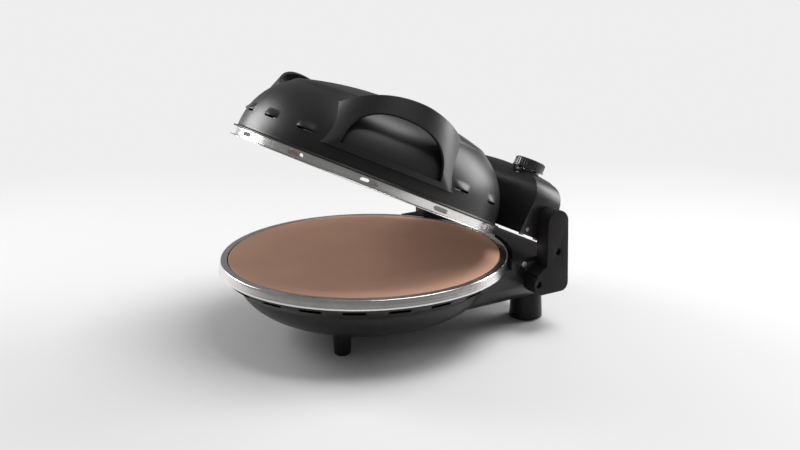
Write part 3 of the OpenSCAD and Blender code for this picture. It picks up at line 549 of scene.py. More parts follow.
def placed(net, vector, on_lid):
    """Object coordinates, centred on the stone or turned to the shut lid's own axis."""
    mapping = net.add("ShaderNodeMapping")
    net.join(vector, mapping.inputs["Vector"])
    lid, base = bpy.context.scene.oven_lid, bpy.context.scene.oven_base
    if not on_lid:
        mapping.inputs["Location"].default_value = (0.0, -base.stone_place, 0.0)
        return mapping.outputs[0]
    c, s = math.cos(lid.open_angle), math.sin(lid.open_angle)
    y, z = base.stone_place + lid.hinge_back, base.rim_height + lid.hinge_up
    mapping.inputs["Rotation"].default_value = (lid.open_angle, 0.0, 0.0)
    mapping.inputs["Location"].default_value = (
        0.0, lid.hinge_back - (y * c - z * s), lid.hinge_up - (y * s + z * c))
    return mapping.outputs[0]


def use_group(net, name, vector, **values):
    """Places a shared effect in a material and returns its node."""
    node = net.add("ShaderNodeGroup")
    node.node_tree = shared(name)
    net.join(vector, node.inputs["Vector"])
    for key, value in values.items():
        node.inputs[key].default_value = value
    return node


def bump(net, height, strength, distance, shader):
    """Feeds a height into the shader's normal."""
    node = net.add("ShaderNodeBump", {"Strength": strength, "Distance": distance})
    net.join(height, node.inputs["Height"])
    net.join(node.outputs[0], shader.inputs["Normal"])


def tone(color, k):
    """A colour times k, with alpha 1."""
    return (color[0] * k, color[1] * k, color[2] * k, 1.0)


def moulded_plastic(name, color, rough=0.40, gloss=0.45, coat=0.0, grain=900.0, depth=0.00004, on_lid=False):
    """Moulded black plastic: fine grain, a faint cloud in its shade and handled gloss."""
    material, net, shader, vector = blank_material(
        name, **{"Specular IOR Level": gloss, "Coat Weight": coat, "Coat Roughness": 0.3})
    vector = placed(net, vector, on_lid)
    effect = use_group(net, "moulded_grain", vector, Grain=grain)
    net.join(net.mix(effect.outputs["Shade"], tone(color, 0.88), tone(color, 1.14)),
             shader.inputs["Base Color"])
    net.join(net.remap(effect.outputs["Gloss"], 0.0, 1.0, rough - 0.04, rough + 0.05),
             shader.inputs["Roughness"])
    bump(net, effect.outputs["Height"], 0.35, depth, shader)
    return material


def turned_metal(name, color, rough=0.22, across=2600.0, around=5.0, on_lid=False, marks=0.0):
    """Sheet steel polished round its axis, with fine lines, streaks and finger smudges."""
    material, net, shader, vector = blank_material(name, Metallic=1.0)
    vector = placed(net, vector, on_lid)
    effect = use_group(net, "turned_steel", vector, Across=across, Around=around)
    base = net.mix(effect.outputs["Streak"], tone(color, 0.9), tone(color, 1.06))
    if marks > 0:
        heat = use_group(net, "heat_marks", vector, Size=22.0, Amount=marks)
        base = net.mix(net.math("MULTIPLY", heat.outputs["Mask"], 0.6), base,
                       (color[0] * 0.62, color[1] * 0.50, color[2] * 0.36, 1.0))
    net.join(base, shader.inputs["Base Color"])
    rough_now = net.math("ADD", net.remap(effect.outputs["Streak"], 0.0, 1.0, rough - 0.05,
                                          rough + 0.05),
                         net.math("MULTIPLY", effect.outputs["Smudge"], 0.08))
    net.join(rough_now, shader.inputs["Roughness"])
    bump(net, effect.outputs["Height"], 0.25, 0.00003, shader)
    return material


def fired_stone(name, color):
    """Pressed cordierite: fine sand grain, darker and lighter specks and a few open pits, each pit also
    painted darker as shade in its hollow.
    """
    material, net, shader, vector = blank_material(name, **{"Specular IOR Level": 0.25})
    vector = placed(net, vector, False)
    cloud = net.remap(net.noise(vector, 7.0, 5.0, 0.6, 0.3), 0.3, 0.7, 0.0, 1.0)
    sand = net.noise(vector, 1400.0, 2.0, 0.6)
    speck = net.add("ShaderNodeTexVoronoi", {"Scale": 420.0, "Randomness": 1.0})
    net.join(vector, speck.inputs["Vector"])
    dark = net.remap(speck.outputs["Distance"], 0.0, 0.16, 1.0, 0.0)
    pits = net.add("ShaderNodeTexVoronoi", {"Scale": 150.0, "Randomness": 1.0})
    net.join(vector, pits.inputs["Vector"])
    pit = net.remap(pits.outputs["Distance"], 0.0, 0.10, 1.0, 0.0)
    base = net.mix(cloud, tone(color, 0.92), tone(color, 1.08))
    base = net.mix(net.math("MULTIPLY", sand, 0.35), base, tone((0.72, 0.46, 0.33), 1.0))
    base = net.mix(net.math("MULTIPLY", dark, 0.35, clamp=True), base, tone(color, 0.5))
    # Painted shade: the colour is darkened in each pit, in step with the bump below that sinks the surface
    # there.
    base = net.mix(net.math("MULTIPLY", pit, 0.5, clamp=True), base, tone(color, 0.42))
    net.join(base, shader.inputs["Base Color"])
    net.join(net.remap(sand, 0.3, 0.7, 0.82, 0.95), shader.inputs["Roughness"])
    height = net.math("SUBTRACT", net.math("MULTIPLY", sand, 0.5), net.math("MULTIPLY", pit, 1.0))
    bump(net, height, 0.5, 0.00025, shader)
    return material


def plain_piece(name, color, rough, metal=0.0, grain=500.0, depth=0.00003, coat=0.0, on_lid=False):
    """A small piece's finish: grain, a little unevenness in shade and in gloss."""
    material, net, shader, vector = blank_material(name, Metallic=metal, **{"Coat Weight": coat})
    vector = placed(net, vector, on_lid)
    effect = use_group(net, "moulded_grain", vector, Grain=grain, Marks=60.0)
    net.join(net.mix(effect.outputs["Gloss"], tone(color, 0.85), tone(color, 1.1)),
             shader.inputs["Base Color"])
    net.join(net.remap(effect.outputs["Gloss"], 0.0, 1.0, rough - 0.05, rough + 0.06),
             shader.inputs["Roughness"])
    bump(net, effect.outputs["Height"], 0.3, depth, shader)
    return material


MATERIALS = {}


def finish_of(name):
    """The finish of that name, made on first use."""
    look = bpy.context.scene.oven_finish
    shell, steel = tuple(look.shell_color), tuple(look.steel_color)
    makers = {
        "dome_plastic": lambda: moulded_plastic("dome_plastic", shell, rough=0.37, on_lid=True),
        "base_plastic": lambda: moulded_plastic("base_plastic", shell, rough=0.36, gloss=0.40),
        "bracket_plastic": lambda: moulded_plastic("bracket_plastic", shell, rough=0.44, gloss=0.2),
        "deck_plastic": lambda: moulded_plastic("deck_plastic", shell, rough=0.30, gloss=0.15),
        "foot_plastic": lambda: moulded_plastic("foot_plastic", shell, rough=0.42, gloss=0.2),
        "knob_plastic": lambda: moulded_plastic("knob_plastic", tuple(look.knob_color),
                                                rough=0.22, coat=0.6, on_lid=True),
        "ring_steel": lambda: turned_metal("ring_steel", steel, rough=0.20),
        "band_steel": lambda: turned_metal("band_steel", steel, rough=0.24, on_lid=True),
        "pan_metal": lambda: turned_metal("pan_metal", (0.55, 0.54, 0.52), rough=0.34, marks=0.5),
        "liner_metal": lambda: turned_metal("liner_metal", (0.60, 0.59, 0.57), rough=0.26,
                                            on_lid=True, marks=0.25),
        "oven_stone": lambda: fired_stone("oven_stone", tuple(look.stone_color)),
        "heater_sheath": lambda: plain_piece("heater_sheath", (0.16, 0.155, 0.15), 0.42, 1.0, 700.0),
        "zinc": lambda: plain_piece("zinc", (0.55, 0.55, 0.56), 0.32, 1.0, 900.0),
        "plate_zinc": lambda: plain_piece("plate_zinc", (0.70, 0.70, 0.71), 0.28, 1.0, 400.0,
                                          on_lid=True),
        "ceramic_white": lambda: plain_piece("ceramic_white", (0.80, 0.77, 0.70), 0.55),
        "wire_red": lambda: plain_piece("wire_red", (0.42, 0.04, 0.03), 0.45),
        "soft_rubber": lambda: plain_piece("soft_rubber", (0.018, 0.018, 0.018), 0.75, 0.0, 700.0,
                                           0.00006),
        "sintered_bronze": lambda: plain_piece("sintered_bronze", (0.48, 0.34, 0.16), 0.45, 1.0),
        "lamp_red": lambda: plain_piece("lamp_red", (0.42, 0.012, 0.010), 0.12, coat=0.8),
    }
    if name not in MATERIALS:
        MATERIALS[name] = makers[name]()
    return MATERIALS[name]


CARRIED = {
    "bottom_cover": ("bracket_plastic", 0.4), "bottom_cover_screws": ("zinc", 0.0),
    "deck_screws": ("zinc", 0.0), "lower_pan": ("pan_metal", 0.0),
    "lower_element": ("heater_sheath", 0.0), "lower_element_clips": ("zinc", 0.0),
    "lower_element_bushes": ("ceramic_white", 0.0), "base_terminal_block": ("ceramic_white", 0.0),
    "base_wires": ("wire_red", 0.0), "cord_inlet": ("soft_rubber", 0.0),
    "foot_pads": ("soft_rubber", 0.0), "bracket_screws": ("zinc", 0.0),
    "hinge_pins": ("zinc", 0.0), "handle_screws": ("zinc", 0.0), "lid_reflector": ("liner_metal", 0.0),
    "reflector_screws": ("zinc", 0.0), "upper_element": ("heater_sheath", 0.0),
    "upper_element_clips": ("zinc", 0.0), "upper_element_bushes": ("ceramic_white", 0.0),
    "thermal_cutout": ("zinc", 0.0), "housing_floor": ("bracket_plastic", 0.0),
    "housing_screws": ("zinc", 0.0), "hinge_bushes": ("sintered_bronze", 0.0),
    "thermostat_body": ("ceramic_white", 0.0), "thermostat_nut": ("zinc", 0.0),
    "lid_terminal_block": ("ceramic_white", 0.0), "lid_wires": ("wire_red", 0.0),
    "lamp_holder": ("ceramic_white", 0.0), "lamp_lens": ("lamp_red", 0.0),
    "thermostat_shaft": ("zinc", 0.0),
}


def set_finish(node, material):
    """Gives a carried-over CAD node its finish."""
    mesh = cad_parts[node].data
    mesh.materials.clear()
    mesh.materials.append(material)


# ---------------------------------------------------------------- pieces of the base


class OVEN_OT_ring(bpy.types.Operator):
    """Make the polished ring round the stone, with its rolled edges"""

    bl_idname = "oven.ring"
    bl_label = "Steel Ring"

    def execute(self, context):
        size = context.scene.oven_base
        r, skirt = size.ring_radius, size.ring_skirt
        inside = size.stone_radius + 1.2 * MM
        out = r + 2.5 * MM
        t = 1.0 * MM
        profile = np.concatenate([
            [[inside, -t], [inside, -0.45 * MM]],
            arc(inside + 0.45 * MM, -0.45 * MM, 0.45 * MM, 180, 90, 4),
            np.stack([np.linspace(inside + 1.2 * MM, r - 1.8 * MM, 5), np.zeros(5)], axis=-1),
            arc(r - 1.4 * MM, -1.4 * MM, 1.4 * MM, 90, 14, 7),
            np.stack([np.linspace(r + 0.35 * MM, out - 0.05 * MM, 6),
                      np.linspace(-2.4 * MM, -skirt + 0.5 * MM, 6)], axis=-1),
            [[out - 0.2 * MM, -skirt], [out - t, -skirt], [out - t, -skirt + 0.6 * MM],
             [r - t, -2.0 * MM], [r - 1.8 * MM, -t]],
        ])
        points, faces = revolve(profile, 240)
        finish_mesh("ring_around_stone", rim_place(points), faces, "base",
                    finish_of("ring_steel"), ["rim_ring"])
        return {"FINISHED"}


class OVEN_OT_stone(bpy.types.Operator):
    """Make the baking stone, with its slightly rounded edges"""

    bl_idname = "oven.stone"
    bl_label = "Baking Stone"

    def execute(self, context):
        size = context.scene.oven_base
        r, t = size.stone_radius, size.stone_thickness
        e = 1.2 * MM
        profile = np.concatenate([
            [[1e-7, -t]], np.stack([np.linspace(0.02, r - e, 6), np.full(6, -t)], axis=-1),
            arc(r - e, -t + e, e, -80, 0, 5),
            arc(r - e, -e, e, 0, 80, 5),
            np.stack([np.linspace(r - e, 0.02, 12), np.zeros(12)], axis=-1), [[1e-7, 0.0]],
        ])
        points, faces = revolve(profile, 240)
        finish_mesh("baking_stone", rim_place(points), faces, "base",
                    finish_of("oven_stone"), ["pizza_stone"])
        return {"FINISHED"}


class OVEN_OT_brackets(bpy.types.Operator):
    """Make the hinge brackets and the feet, with rounded edges"""

    bl_idname = "oven.brackets"
    bl_label = "Brackets and Feet"

    def execute(self, context):
        for side in ("right", "left"):
            softened("bracket_" + side, "hinge_bracket_" + side, "base",
                     finish_of("bracket_plastic"), 0.9 * MM, 3)
        softened("front_feet", "feet_front", "base", finish_of("foot_plastic"),
                 0.5 * MM, 2)
        softened("rear_feet", "feet_rear", "base", finish_of("foot_plastic"),
                 0.6 * MM, 2)
        return {"FINISHED"}


class OVEN_OT_shell(bpy.types.Operator):
    """Make the bowl with its rear housing, and the cover behind the ring"""

    bl_idname = "oven.shell"
    bl_label = "Bowl and Cover"

    def execute(self, context):
        softened("base_shell", "bowl_shell", "base", finish_of("base_plastic"),
                 0.35 * MM, 1)
        softened("rear_deck", "rear_cover", "base", finish_of("deck_plastic"),
                 0.8 * MM, 3)
        return {"FINISHED"}


# ---------------------------------------------------------------- pieces of the lid


LOUVERS = tuple(math.radians(s * a - 90) for a in (9.5, 29.5, 97.0, 120.0) for s in (1, -1))


def dome_paths():
    """The dome's outer and inner profiles as lines of matching points.

    Outer: flange underside, its edge, its top, a fillet, the side's arc, a soft crease and the
    crown's arc. Inner: the same arcs less the wall, and one corner under the whole flange.
    """
    lid = bpy.context.scene.oven_lid
    a, z0 = lid.side_arc, lid.flange_height + 2.0 * MM
    cx = lid.dome_radius - a
    cz = lid.crown_height - lid.crown_arc
    wall = lid.shell
    edge = lid.dome_radius + 4.5 * MM
    low = lid.flange_height
    root = lid.dome_radius - wall

    def side(inset, top, n):
        t = np.linspace(math.radians(2.2), top, n)
        return np.stack([cx + (a - inset) * np.cos(t), z0 + (a - inset) * np.sin(t)], axis=-1)

    def crown(inset, r0, n):
        r = r0 * (1 - np.linspace(0, 1, n) ** 1.15)
        return np.stack([r, cz + np.sqrt((lid.crown_arc - inset) ** 2 - r * r)], axis=-1)

    top = math.acos((0.1205 - cx) / a)
    soft = math.radians(3.6)
    outer_side = side(0.0, top - soft, 64)
    inner_side = side(wall, top - soft, 64)
    outer_crown = crown(0.0, 0.1175, 40)
    inner_crown = crown(wall, 0.1155, 40)

    def crease(p, q, corner, n=8):
        t = np.linspace(0, 1, n + 2)[1:-1, None]
        return (1 - t) ** 2 * p + 2 * t * (1 - t) * corner + t ** 2 * q

    corner = np.array([0.1207, 0.0867])
    outer_bend = crease(outer_side[-1], outer_crown[0], corner)
    inner_bend = crease(inner_side[-1], inner_crown[0], corner - [wall * 0.8, wall * 0.95])
    flange = np.concatenate([
        [[root, low], [edge - 0.7 * MM, low]], arc(edge - 0.6 * MM, low + 0.6 * MM, 0.6 * MM, -60, 0, 3),
        arc(edge - 0.7 * MM, z0 - 0.7 * MM, 0.7 * MM, 0, 90, 4),
        [[lid.dome_radius + 2.2 * MM, z0]],
        arc(lid.dome_radius + 1.7 * MM, z0 + 1.7 * MM, 1.7 * MM, -100, -165, 5)])
    inner_flange = np.tile([[root, low]], (len(flange), 1))
    outer = np.concatenate([flange, outer_side, outer_bend, outer_crown])
    inner = np.concatenate([inner_flange, inner_side, inner_bend, inner_crown])
    return outer, inner


def louver_lift(u, height, slot_top, reach, tall, half):
    """How far the dome's wall stands out over its air slots.

    Over each slot an eyebrow rises: its height is the product of a bow across the slot,
    1 - (x / half)^2, and a smooth fall from the slot's upper edge to nothing over its
    reach up the wall. Below that edge the wall falls back at once.
    """
    lift = np.zeros_like(u)
    for bearing in LOUVERS:
        x = (np.mod(u - bearing + np.pi, 2 * np.pi) - np.pi) * 0.159
        bow = np.clip(1 - (x / half) ** 2, 0, 1) ** 1.1
        t = np.clip((height - slot_top) / reach, 0, 1)
        rise = (1 - t) ** 2 * (1 + 2 * t)
        fall = np.clip(1 + (height - slot_top) / (0.9 * MM), 0, 1)
        lift = np.maximum(lift, tall * bow * np.where(height < slot_top, fall, rise))
    return lift


class OVEN_OT_dome(bpy.types.Operator):
    """Make the black dome with its flange, soft crown edge and eyebrow air slots"""

    bl_idname = "oven.dome"
    bl_label = "Dome"

    def execute(self, context):
        outer_line, inner_line = dome_paths()
        index = np.arange(len(outer_line), dtype=float)
        height = np.interp
        slot_top = 35.6 * MM
        outer_z = outer_line[:, 1]
        first_side = 15
        rows_z = outer_z[first_side:first_side + 60]
        rows_i = index[first_side:first_side + 60]

        def row_at(z):
            return float(height(z, rows_z, rows_i))

        slot_low, slot_high = row_at(33.2 * MM), row_at(slot_top)
        lines = [row_at(z * MM) for z in np.arange(30.6, 44.0, 0.6)] + [slot_low, slot_high]
        cell_low, cell_high = row_at(32.4 * MM), row_at(36.3 * MM)
        lines = [v for v in lines if not cell_low - 0.2 < v < cell_high + 0.2]
        mids = np.linspace(cell_low, cell_high, 7)
        vs = np.unique(np.round(np.concatenate([index, lines, mids]), 6))
        vs = np.array([v for v in vs if not (cell_low - 0.25 < v < cell_high + 0.25)
                       or np.abs(mids - v).min() < 1e-5])
        half_slot, half_cell = math.radians(3.9), math.radians(4.6)
        fine = [np.linspace(b - half_cell, b + half_cell, 19) for b in LOUVERS]
        skirts = [b + s * math.radians(k) for b in LOUVERS for s in (-1, 1) for k in (5.2, 6.0)]
        us = np.mod(np.concatenate([np.concatenate(fine), skirts]), 2 * np.pi)
        us = spread(us, 0.0, 2 * np.pi, math.radians(2.0))[:-1]
        holes = []
        j0 = int(np.argmin(np.abs(vs - cell_low)))
        j1 = int(np.argmin(np.abs(vs - cell_high)))
        for b in LOUVERS:
            b = b % (2 * np.pi)
            i0 = int(np.argmin(np.abs(us - (b - half_cell))))
            i1 = int(np.argmin(np.abs(us - (b + half_cell))))
            holes.append({"cells": (i0, i1, j0, j1), "u": b, "v": (slot_low + slot_high) / 2,
                          "a": half_slot, "b": (slot_high - slot_low) / 2, "power": 5.0})

        def surface(line, share):
            def place(u, v):
                r = np.interp(v, index, line[:, 0])
                z = np.interp(v, index, line[:, 1])
                base_z = np.interp(v, index, outer_line[:, 1])
                on_side = (v > first_side) & (base_z < 60 * MM)
                lift = louver_lift(u, base_z, slot_top, 8.5 * MM, 2.9 * MM, 12.6 * MM)
                r = r + np.where(on_side, lift * share, 0.0)
                return lid_place(np.stack([r * np.cos(u), r * np.sin(u), z], axis=-1))
            return place

        points, faces = pierced_shell(surface(outer_line, 1.0), surface(inner_line, 0.75),
                                      us, vs, holes, rings=3)
        finish_mesh("dome_shell", points, faces, "lid",
                    finish_of("dome_plastic"), ["lid_dome"], sharp=32.0)
        return {"FINISHED"}


class OVEN_OT_band(bpy.types.Operator):
    """Make the steel band and lip under the dome, with its oval air holes"""

    bl_idname = "oven.band"
    bl_label = "Steel Band"

    def execute(self, context):
        lid = context.scene.oven_lid
        r = lid.dome_radius + 0.5 * MM
        lip, low, thick = lid.dome_radius + 5.0 * MM, 1.0 * MM, 1.2 * MM
        high = lid.flange_height - 0.03 * MM
        t = 1.0 * MM
        outer_line = np.concatenate([
            [[r - 5 * MM, low], [lip - 0.6 * MM, low]],
            arc(lip - 0.6 * MM, low + 0.6 * MM, 0.6 * MM, -60, 90, 6),
            [[r + 1.0 * MM, low + thick], [r + 0.4 * MM, low + thick + 0.15 * MM]],
            np.stack([np.full(12, r), np.linspace(low + thick + 0.6 * MM, high, 12)], axis=-1)])
        inner_line = np.array(outer_line)
        inner_line[:, 0] = r - t
        inner_line[:-12, 0] = r - 5 * MM
        inner_line[:-12, 1] = low + thick
        inner_line[0] = outer_line[0]
        index = np.arange(len(outer_line), dtype=float)
        top = len(index) - 1
        j0, j1 = top - 10, top - 1
        z_mid = 0.5 * (outer_line[j0, 1] + outer_line[j1, 1])
        v_mid = float(np.interp(z_mid, outer_line[-12:, 1], index[-12:]))
        per_row = outer_line[-1, 1] - outer_line[-2, 1]
        half_cell = math.radians(4.4)
        bearings = -np.pi / 2 + np.arange(lid.slot_count) * 2 * np.pi / lid.slot_count
        fine = np.concatenate([np.linspace(b - half_cell, b + half_cell, 17) for b in bearings])
        us = spread(np.mod(fine, 2 * np.pi), 0.0, 2 * np.pi, math.radians(2.0))[:-1]
        holes = []
        for b in bearings:
            b = b % (2 * np.pi)
            i0 = int(np.argmin(np.abs(us - (b - half_cell) % (2 * np.pi))))
            i1 = int(np.argmin(np.abs(us - (b + half_cell) % (2 * np.pi))))
            if i1 < i0:
                i0, b = i0 - len(us), (b + np.pi) % (2 * np.pi) - np.pi
            holes.append({"cells": (i0, i1, j0, j1), "u": b, "v": v_mid,
                          "a": math.radians(3.45), "b": 2.5 * MM / per_row, "power": 3.6})

        def surface(line):
            def place(u, v):
                q = along(index, line, v)
                return lid_place(np.stack([q[:, 0] * np.cos(u), q[:, 0] * np.sin(u), q[:, 1]],
                                          axis=-1))
            return place

        points, faces = pierced_shell(surface(outer_line), surface(inner_line), us, index, holes,
                                      rings=3)
        finish_mesh("steel_band", points, faces, "lid",
                    finish_of("band_steel"), ["lid_band"])
        return {"FINISHED"}


def dome_radius_at(z):
    """Radius of the dome's side at a height, and of its crown's edge above that."""
    lid = bpy.context.scene.oven_lid
    z0 = lid.flange_height + 2.0 * MM
    cx = lid.dome_radius - lid.side_arc
    rise = np.clip(z - z0, 0, lid.crown_height - 19.5 * MM - z0)
    return cx + np.sqrt(lid.side_arc ** 2 - rise ** 2)


def handle_reach(x, z):
    """How far out the handle's wall stands, at x along the handle and height z.

    It is the lower of two surfaces: the round wall, sqrt(W^2 - x^2), and the leaning
    rounded plan, m + sqrt(R(z)^2 - x^2), whose radius grows downwards by the lean. A
    smooth minimum of half-width k rounds the edge between the two.
    """
    h = bpy.context.scene.oven_handle
    radius = h.plan_radius + (95 * MM - z) * h.lean
    wall = np.sqrt(np.maximum(h.wall_radius ** 2 - x * x, 1e-9))
    plan = h.plan_middle + np.sqrt(np.maximum(radius ** 2 - x * x, 1e-9))
    k = 2.5 * MM
    mix = np.clip(0.5 + 0.5 * (plan - wall) / k, 0, 1)
    return plan * (1 - mix) + wall * mix - k * mix * (1 - mix)


def handle_end(z):
    """Half-length of the handle at height z: where its rounded plan meets the dome."""
    h = bpy.context.scene.oven_handle
    radius = h.plan_radius + (95 * MM - z) * h.lean
    rd = dome_radius_at(z) - 0.6 * MM
    m = h.plan_middle
    cosine = (rd * rd - m * m - radius * radius) / (2 * m * radius)
    return radius * np.sqrt(np.maximum(1 - np.clip(cosine, -1, 1) ** 2, 0))


class OVEN_OT_handles(bpy.types.Operator):
    """Make the two arched side handles with their half-moon finger openings"""

    bl_idname = "oven.handles"
    bl_label = "Side Handles"

    def execute(self, context):
        h = context.scene.oven_handle
        low = 28 * MM
        skew = 8 * MM
        count = 52

        def arch(x):
            return h.top - h.arch + np.sqrt(h.arch ** 2 - (x - skew) ** 2)

        def meet(side):
            z = np.linspace(60 * MM, 100 * MM, 800)
            return float(z[np.argmin(np.abs(arch(side * handle_end(z)) - z))])

        z_right, z_left = meet(1), meet(-1)
        right_z = np.linspace(low, z_right, count)
        left_z = np.linspace(z_left, low, count)
        right = np.stack([handle_end(right_z), right_z], axis=-1)
        left = np.stack([-handle_end(left_z), left_z], axis=-1)
        t = np.linspace(0, 1, count * 2)[1:-1]
        x = right[-1, 0] + (left[0, 0] - right[-1, 0]) * t
        top = np.stack([x, arch(x)], axis=-1)
        x = np.linspace(left[-1, 0], right[0, 0], count)[1:-1]
        bottom = np.stack([x, np.full_like(x, low)], axis=-1)
        outline = np.concatenate([right, top, left, bottom])
        n_up = len(right) + len(top) + len(left)
        length = np.concatenate([[0], np.cumsum(np.linalg.norm(
            np.diff(outline[:n_up], axis=0), axis=1))])
        share = length / length[-1]
        angle = np.pi * share
        window = np.concatenate([
            oval(angle, h.opening_half, h.opening_height, 2.4),
            np.stack([np.linspace(-h.opening_half, h.opening_half, len(bottom) + 2)[1:-1],
                      np.zeros(len(bottom))], axis=-1)]) + [0.0, h.opening_sill]
        rings = 26
        w = (1 - np.cos(np.linspace(0, np.pi, rings))) / 2
        flat = window[None] * (1 - w[:, None, None]) + outline[None] * w[:, None, None]
        x, z = flat[..., 0], flat[..., 1]
        v = handle_reach(x, z)
        face = np.stack([v, x, z], axis=-1)
        across = np.gradient(face, axis=0)
        around = (np.roll(face, -1, axis=1) - np.roll(face, 1, axis=1)) / 2
        normal = np.cross(across, around)
        normal /= np.linalg.norm(normal, axis=-1, keepdims=True) + 1e-12
        normal *= np.sign(normal[..., :1].mean())
        wall = 3.2 * MM
        round_off = 0.9 * MM
        edge = np.minimum(np.minimum(np.arange(rings), np.arange(rings)[::-1]), 3)
        drop = round_off * (1 - np.sqrt(1 - ((3 - edge) / 3.0) ** 2))
        drop = np.where(edge < 3, drop, 0)[:, None, None]
        layers = np.stack([face - normal * drop, face - normal * (wall - drop)])
        columns = len(outline)
        size = rings * columns
        faces = grid_faces(rings, columns, 0, wrap_columns=True)
        faces += grid_faces(rings, columns, size, wrap_columns=True, flip=True)
        j = np.arange(columns)
        j2 = (j + 1) % columns
        faces += quads(j2, j, j + size, j2 + size)
        last = (rings - 1) * columns
        faces += quads(last + j, last + j2, last + j2 + size, last + j + size)
        shell_points = layers.reshape(-1, 3)

        x = np.linspace(-handle_end(np.float64(low)), handle_end(np.float64(low)), 60)
        floor_low, floor_high = low, h.opening_sill - 2.5 * MM
        outer_v = handle_reach(x, np.full_like(x, low)) - 1.5 * MM
        inner_v = np.sqrt(np.maximum((dome_radius_at(low) - 1.2 * MM) ** 2 - x * x, 0))
        outer_v = np.maximum(outer_v, inner_v + 0.2 * MM)
        ring = np.stack([
            np.stack([inner_v, x, np.full_like(x, floor_low)], axis=-1),
            np.stack([outer_v, x, np.full_like(x, floor_low)], axis=-1),
            np.stack([outer_v, x, np.full_like(x, floor_high)], axis=-1),
            np.stack([inner_v - 1.2 * MM, x, np.full_like(x, floor_high)], axis=-1)], axis=1)
        start = len(shell_points)
        n = len(x)
        floor_faces = grid_faces(n, 4, start, wrap_columns=True)
        floor_faces += [[start + k for k in (0, 1, 2, 3)],
                        [start + (n - 1) * 4 + k for k in (3, 2, 1, 0)]]
        local = np.concatenate([shell_points, ring.reshape(-1, 3)])
        for side, name in ((1, "right"), (-1, "left")):
            c, s = math.cos(-h.bearing), math.sin(-h.bearing)
            vx, ux = local[:, 0], local[:, 1]
            points = np.stack([side * (vx * c - ux * s), vx * s + ux * c, local[:, 2]], axis=-1)
            all_faces = faces + floor_faces
            finish_mesh("side_handle_" + name, lid_place(points), all_faces, "lid",
                        finish_of("dome_plastic"), ["handle_" + name], sharp=30.0)
        return {"FINISHED"}


class OVEN_OT_housing(bpy.types.Operator):
    """Make the control housing behind the dome, and its ribbed knob"""

    bl_idname = "oven.housing"
    bl_label = "Control Housing"

    def execute(self, context):
        softened("control_housing", "housing_shell", "lid",
                 finish_of("dome_plastic"), 0.7 * MM, 3)
        softened("thermostat_knob", "control_knob", "knob",
                 finish_of("knob_plastic"), 0.2 * MM, 2)
        return {"FINISHED"}


class OVEN_OT_carried(bpy.types.Operator):
    """Give every carried-over piece its finish"""

    bl_idname = "oven.carried"
    bl_label = "Carried Pieces"

    def execute(self, context):
        for node, (finish, width) in CARRIED.items():
            set_finish(node, finish_of(finish))
        return {"FINISHED"}


# ---------------------------------------------------------------- stage


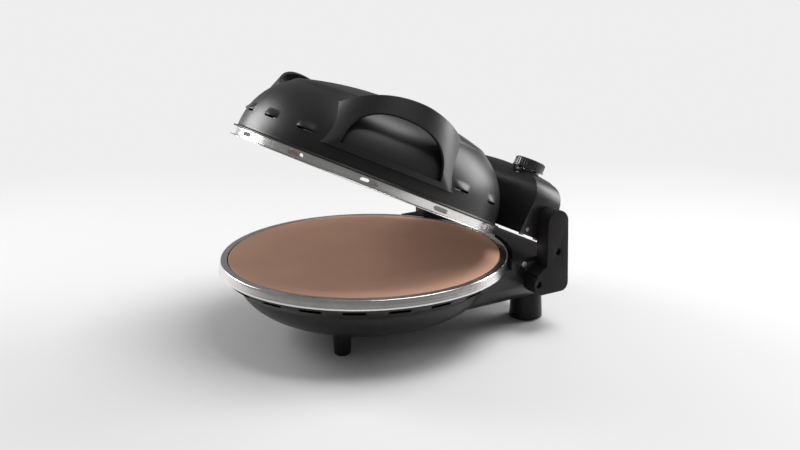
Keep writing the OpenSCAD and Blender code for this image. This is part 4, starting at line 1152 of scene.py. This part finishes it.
class OVEN_OT_stage(bpy.types.Operator):
    """Set up the camera, the pale floor and the soft studio lamps"""

    bl_idname = "oven.stage"
    bl_label = "Studio"

    def execute(self, context):
        scene = context.scene
        stage = scene.oven_stage
        az, el, roll = stage.azimuth, stage.elevation, stage.roll
        back = Vector((math.cos(el) * math.sin(az), -math.cos(el) * math.cos(az), math.sin(el)))
        side = Vector((math.cos(az), math.sin(az), 0.0))
        up = back.cross(side)
        side, up = (side * math.cos(roll) + up * math.sin(roll),
                    up * math.cos(roll) - side * math.sin(roll))
        middle = Vector((0.0, scene.oven_base.stone_place, scene.oven_base.rim_height))
        place = middle + back * stage.distance + side * 0.042953 + up * 0.031413
        data = bpy.data.cameras.new("camera")
        data.sensor_width = 36.0
        data.sensor_fit = "HORIZONTAL"
        data.lens = stage.focal_length
        data.clip_end = 100.0
        camera = bpy.data.objects.new("camera", data)
        scene.collection.objects.link(camera)
        camera.matrix_world = Matrix(
            [[side[k], up[k], back[k], place[k]] for k in range(3)] + [[0, 0, 0, 1]])
        scene.camera = camera

        mesh = bpy.data.meshes.new("floor")
        t = np.linspace(0, 2 * np.pi, 96, endpoint=False)
        edge = np.stack([12 * np.cos(t), 12 * np.sin(t), 0 * t], axis=-1)
        mesh.from_pydata(edge.tolist(), [], [list(range(96))])
        material, net, shader, vector = blank_material("floor_paint", Roughness=0.55, **{
            "Specular IOR Level": 0.2})
        cloud = net.noise(placed(net, vector, False), 1.3, 2.0, 0.5)
        color = tuple(stage.floor_color)
        net.join(net.mix(cloud, tone(color, 0.985), tone(color, 1.0)), shader.inputs["Base Color"])
        far = net.add("ShaderNodeEmission", {"Color": (*stage.backdrop_color, 1.0)})
        length = net.add("ShaderNodeVectorMath", operation="LENGTH")
        net.join(vector, length.inputs[0])
        fade = net.add("ShaderNodeMapRange", {"From Min": 0.30, "From Max": 1.2},
                       interpolation_type="SMOOTHSTEP")
        net.join(length.outputs["Value"], fade.inputs["Value"])
        blend = net.add("ShaderNodeMixShader")
        net.join(fade.outputs["Result"], blend.inputs[0])
        net.join(shader.outputs[0], blend.inputs[1])
        net.join(far.outputs[0], blend.inputs[2])
        net.join(blend.outputs[0], net.output.inputs["Surface"])
        mesh.materials.append(material)
        floor = bpy.data.objects.new("floor", mesh)
        scene.collection.objects.link(floor)

        world = bpy.data.worlds.new("studio")
        world.use_nodes = True
        tree = world.node_tree
        tree.nodes.clear()
        net = Net(tree)
        path = net.add("ShaderNodeLightPath")
        soft = net.add("ShaderNodeBackground", {"Color": (1.0, 1.0, 1.0, 1.0), "Strength": stage.ambient})
        seen = net.add("ShaderNodeBackground", {"Color": (*stage.backdrop_color, 1.0)})
        choose = net.add("ShaderNodeMixShader")
        output = net.add("ShaderNodeOutputWorld")
        net.join(path.outputs["Is Camera Ray"], choose.inputs[0])
        net.join(soft.outputs[0], choose.inputs[1])
        net.join(seen.outputs[0], choose.inputs[2])
        net.join(choose.outputs[0], output.inputs["Surface"])
        scene.world = world

        lamps = (
            ("lamp_back", 174.0, 17.0, 2.0, 1.1, 26.0),
            ("lamp_front_left", -60.0, 24.0, 1.8, 0.8, 17.0),
            ("lamp_top", 150.0, 70.0, 1.9, 1.1, 27.0),
        )
        aim = Vector((0.0, 0.0, 0.12))
        for name, bearing, height, distance, width, power in lamps:
            light = bpy.data.lights.new(name, "AREA")
            light.size = width
            light.energy = power
            lamp = bpy.data.objects.new(name, light)
            a, e = math.radians(bearing), math.radians(height)
            toward = Vector((math.cos(e) * math.sin(a), -math.cos(e) * math.cos(a), math.sin(e)))
            lamp.rotation_mode = "QUATERNION"
            lamp.rotation_quaternion = (-toward).to_track_quat("-Z", "Y")
            lamp.location = aim + toward * distance
            scene.collection.objects.link(lamp)
        scene.view_settings.view_transform = "Standard"
        return {"FINISHED"}


# ---------------------------------------------------------------- panel and registration


GROUP_CLASSES = (OvenBaseSizes, OvenLidSizes, OvenHandleSizes, OvenFinish, OvenStage)
GROUP_PROPS = ("oven_base", "oven_lid", "oven_handle", "oven_finish", "oven_stage")
OPERATORS = (OVEN_OT_ring, OVEN_OT_stone, OVEN_OT_brackets, OVEN_OT_shell, OVEN_OT_dome,
             OVEN_OT_band, OVEN_OT_handles, OVEN_OT_housing, OVEN_OT_carried, OVEN_OT_stage)


class OVEN_PT_panel(bpy.types.Panel):
    """Buttons for every piece of the pizza oven and its studio"""

    bl_idname = "OVEN_PT_panel"
    bl_label = "Pizza Oven"
    bl_space_type = "VIEW_3D"
    bl_region_type = "UI"
    bl_category = "Pizza Oven"

    def draw(self, context):
        column = self.layout.column()
        for operator in OPERATORS:
            column.operator(operator.bl_idname)
        for name in GROUP_PROPS:
            group = getattr(context.scene, name)
            box = self.layout.box()
            for key in group.__annotations__:
                box.prop(group, key)


def register():
    for cls in (*GROUP_CLASSES, *OPERATORS, OVEN_PT_panel):
        bpy.utils.register_class(cls)
    for name, cls in zip(GROUP_PROPS, GROUP_CLASSES):
        setattr(bpy.types.Scene, name, PointerProperty(type=cls))


def unregister():
    for name in GROUP_PROPS:
        delattr(bpy.types.Scene, name)
    for cls in reversed((*GROUP_CLASSES, *OPERATORS, OVEN_PT_panel)):
        bpy.utils.unregister_class(cls)


def main():
    register()
    for operator in OPERATORS:
        category, _, name = operator.bl_idname.partition(".")
        getattr(getattr(bpy.ops, category), name)()


if __name__ == "__main__":
    main()
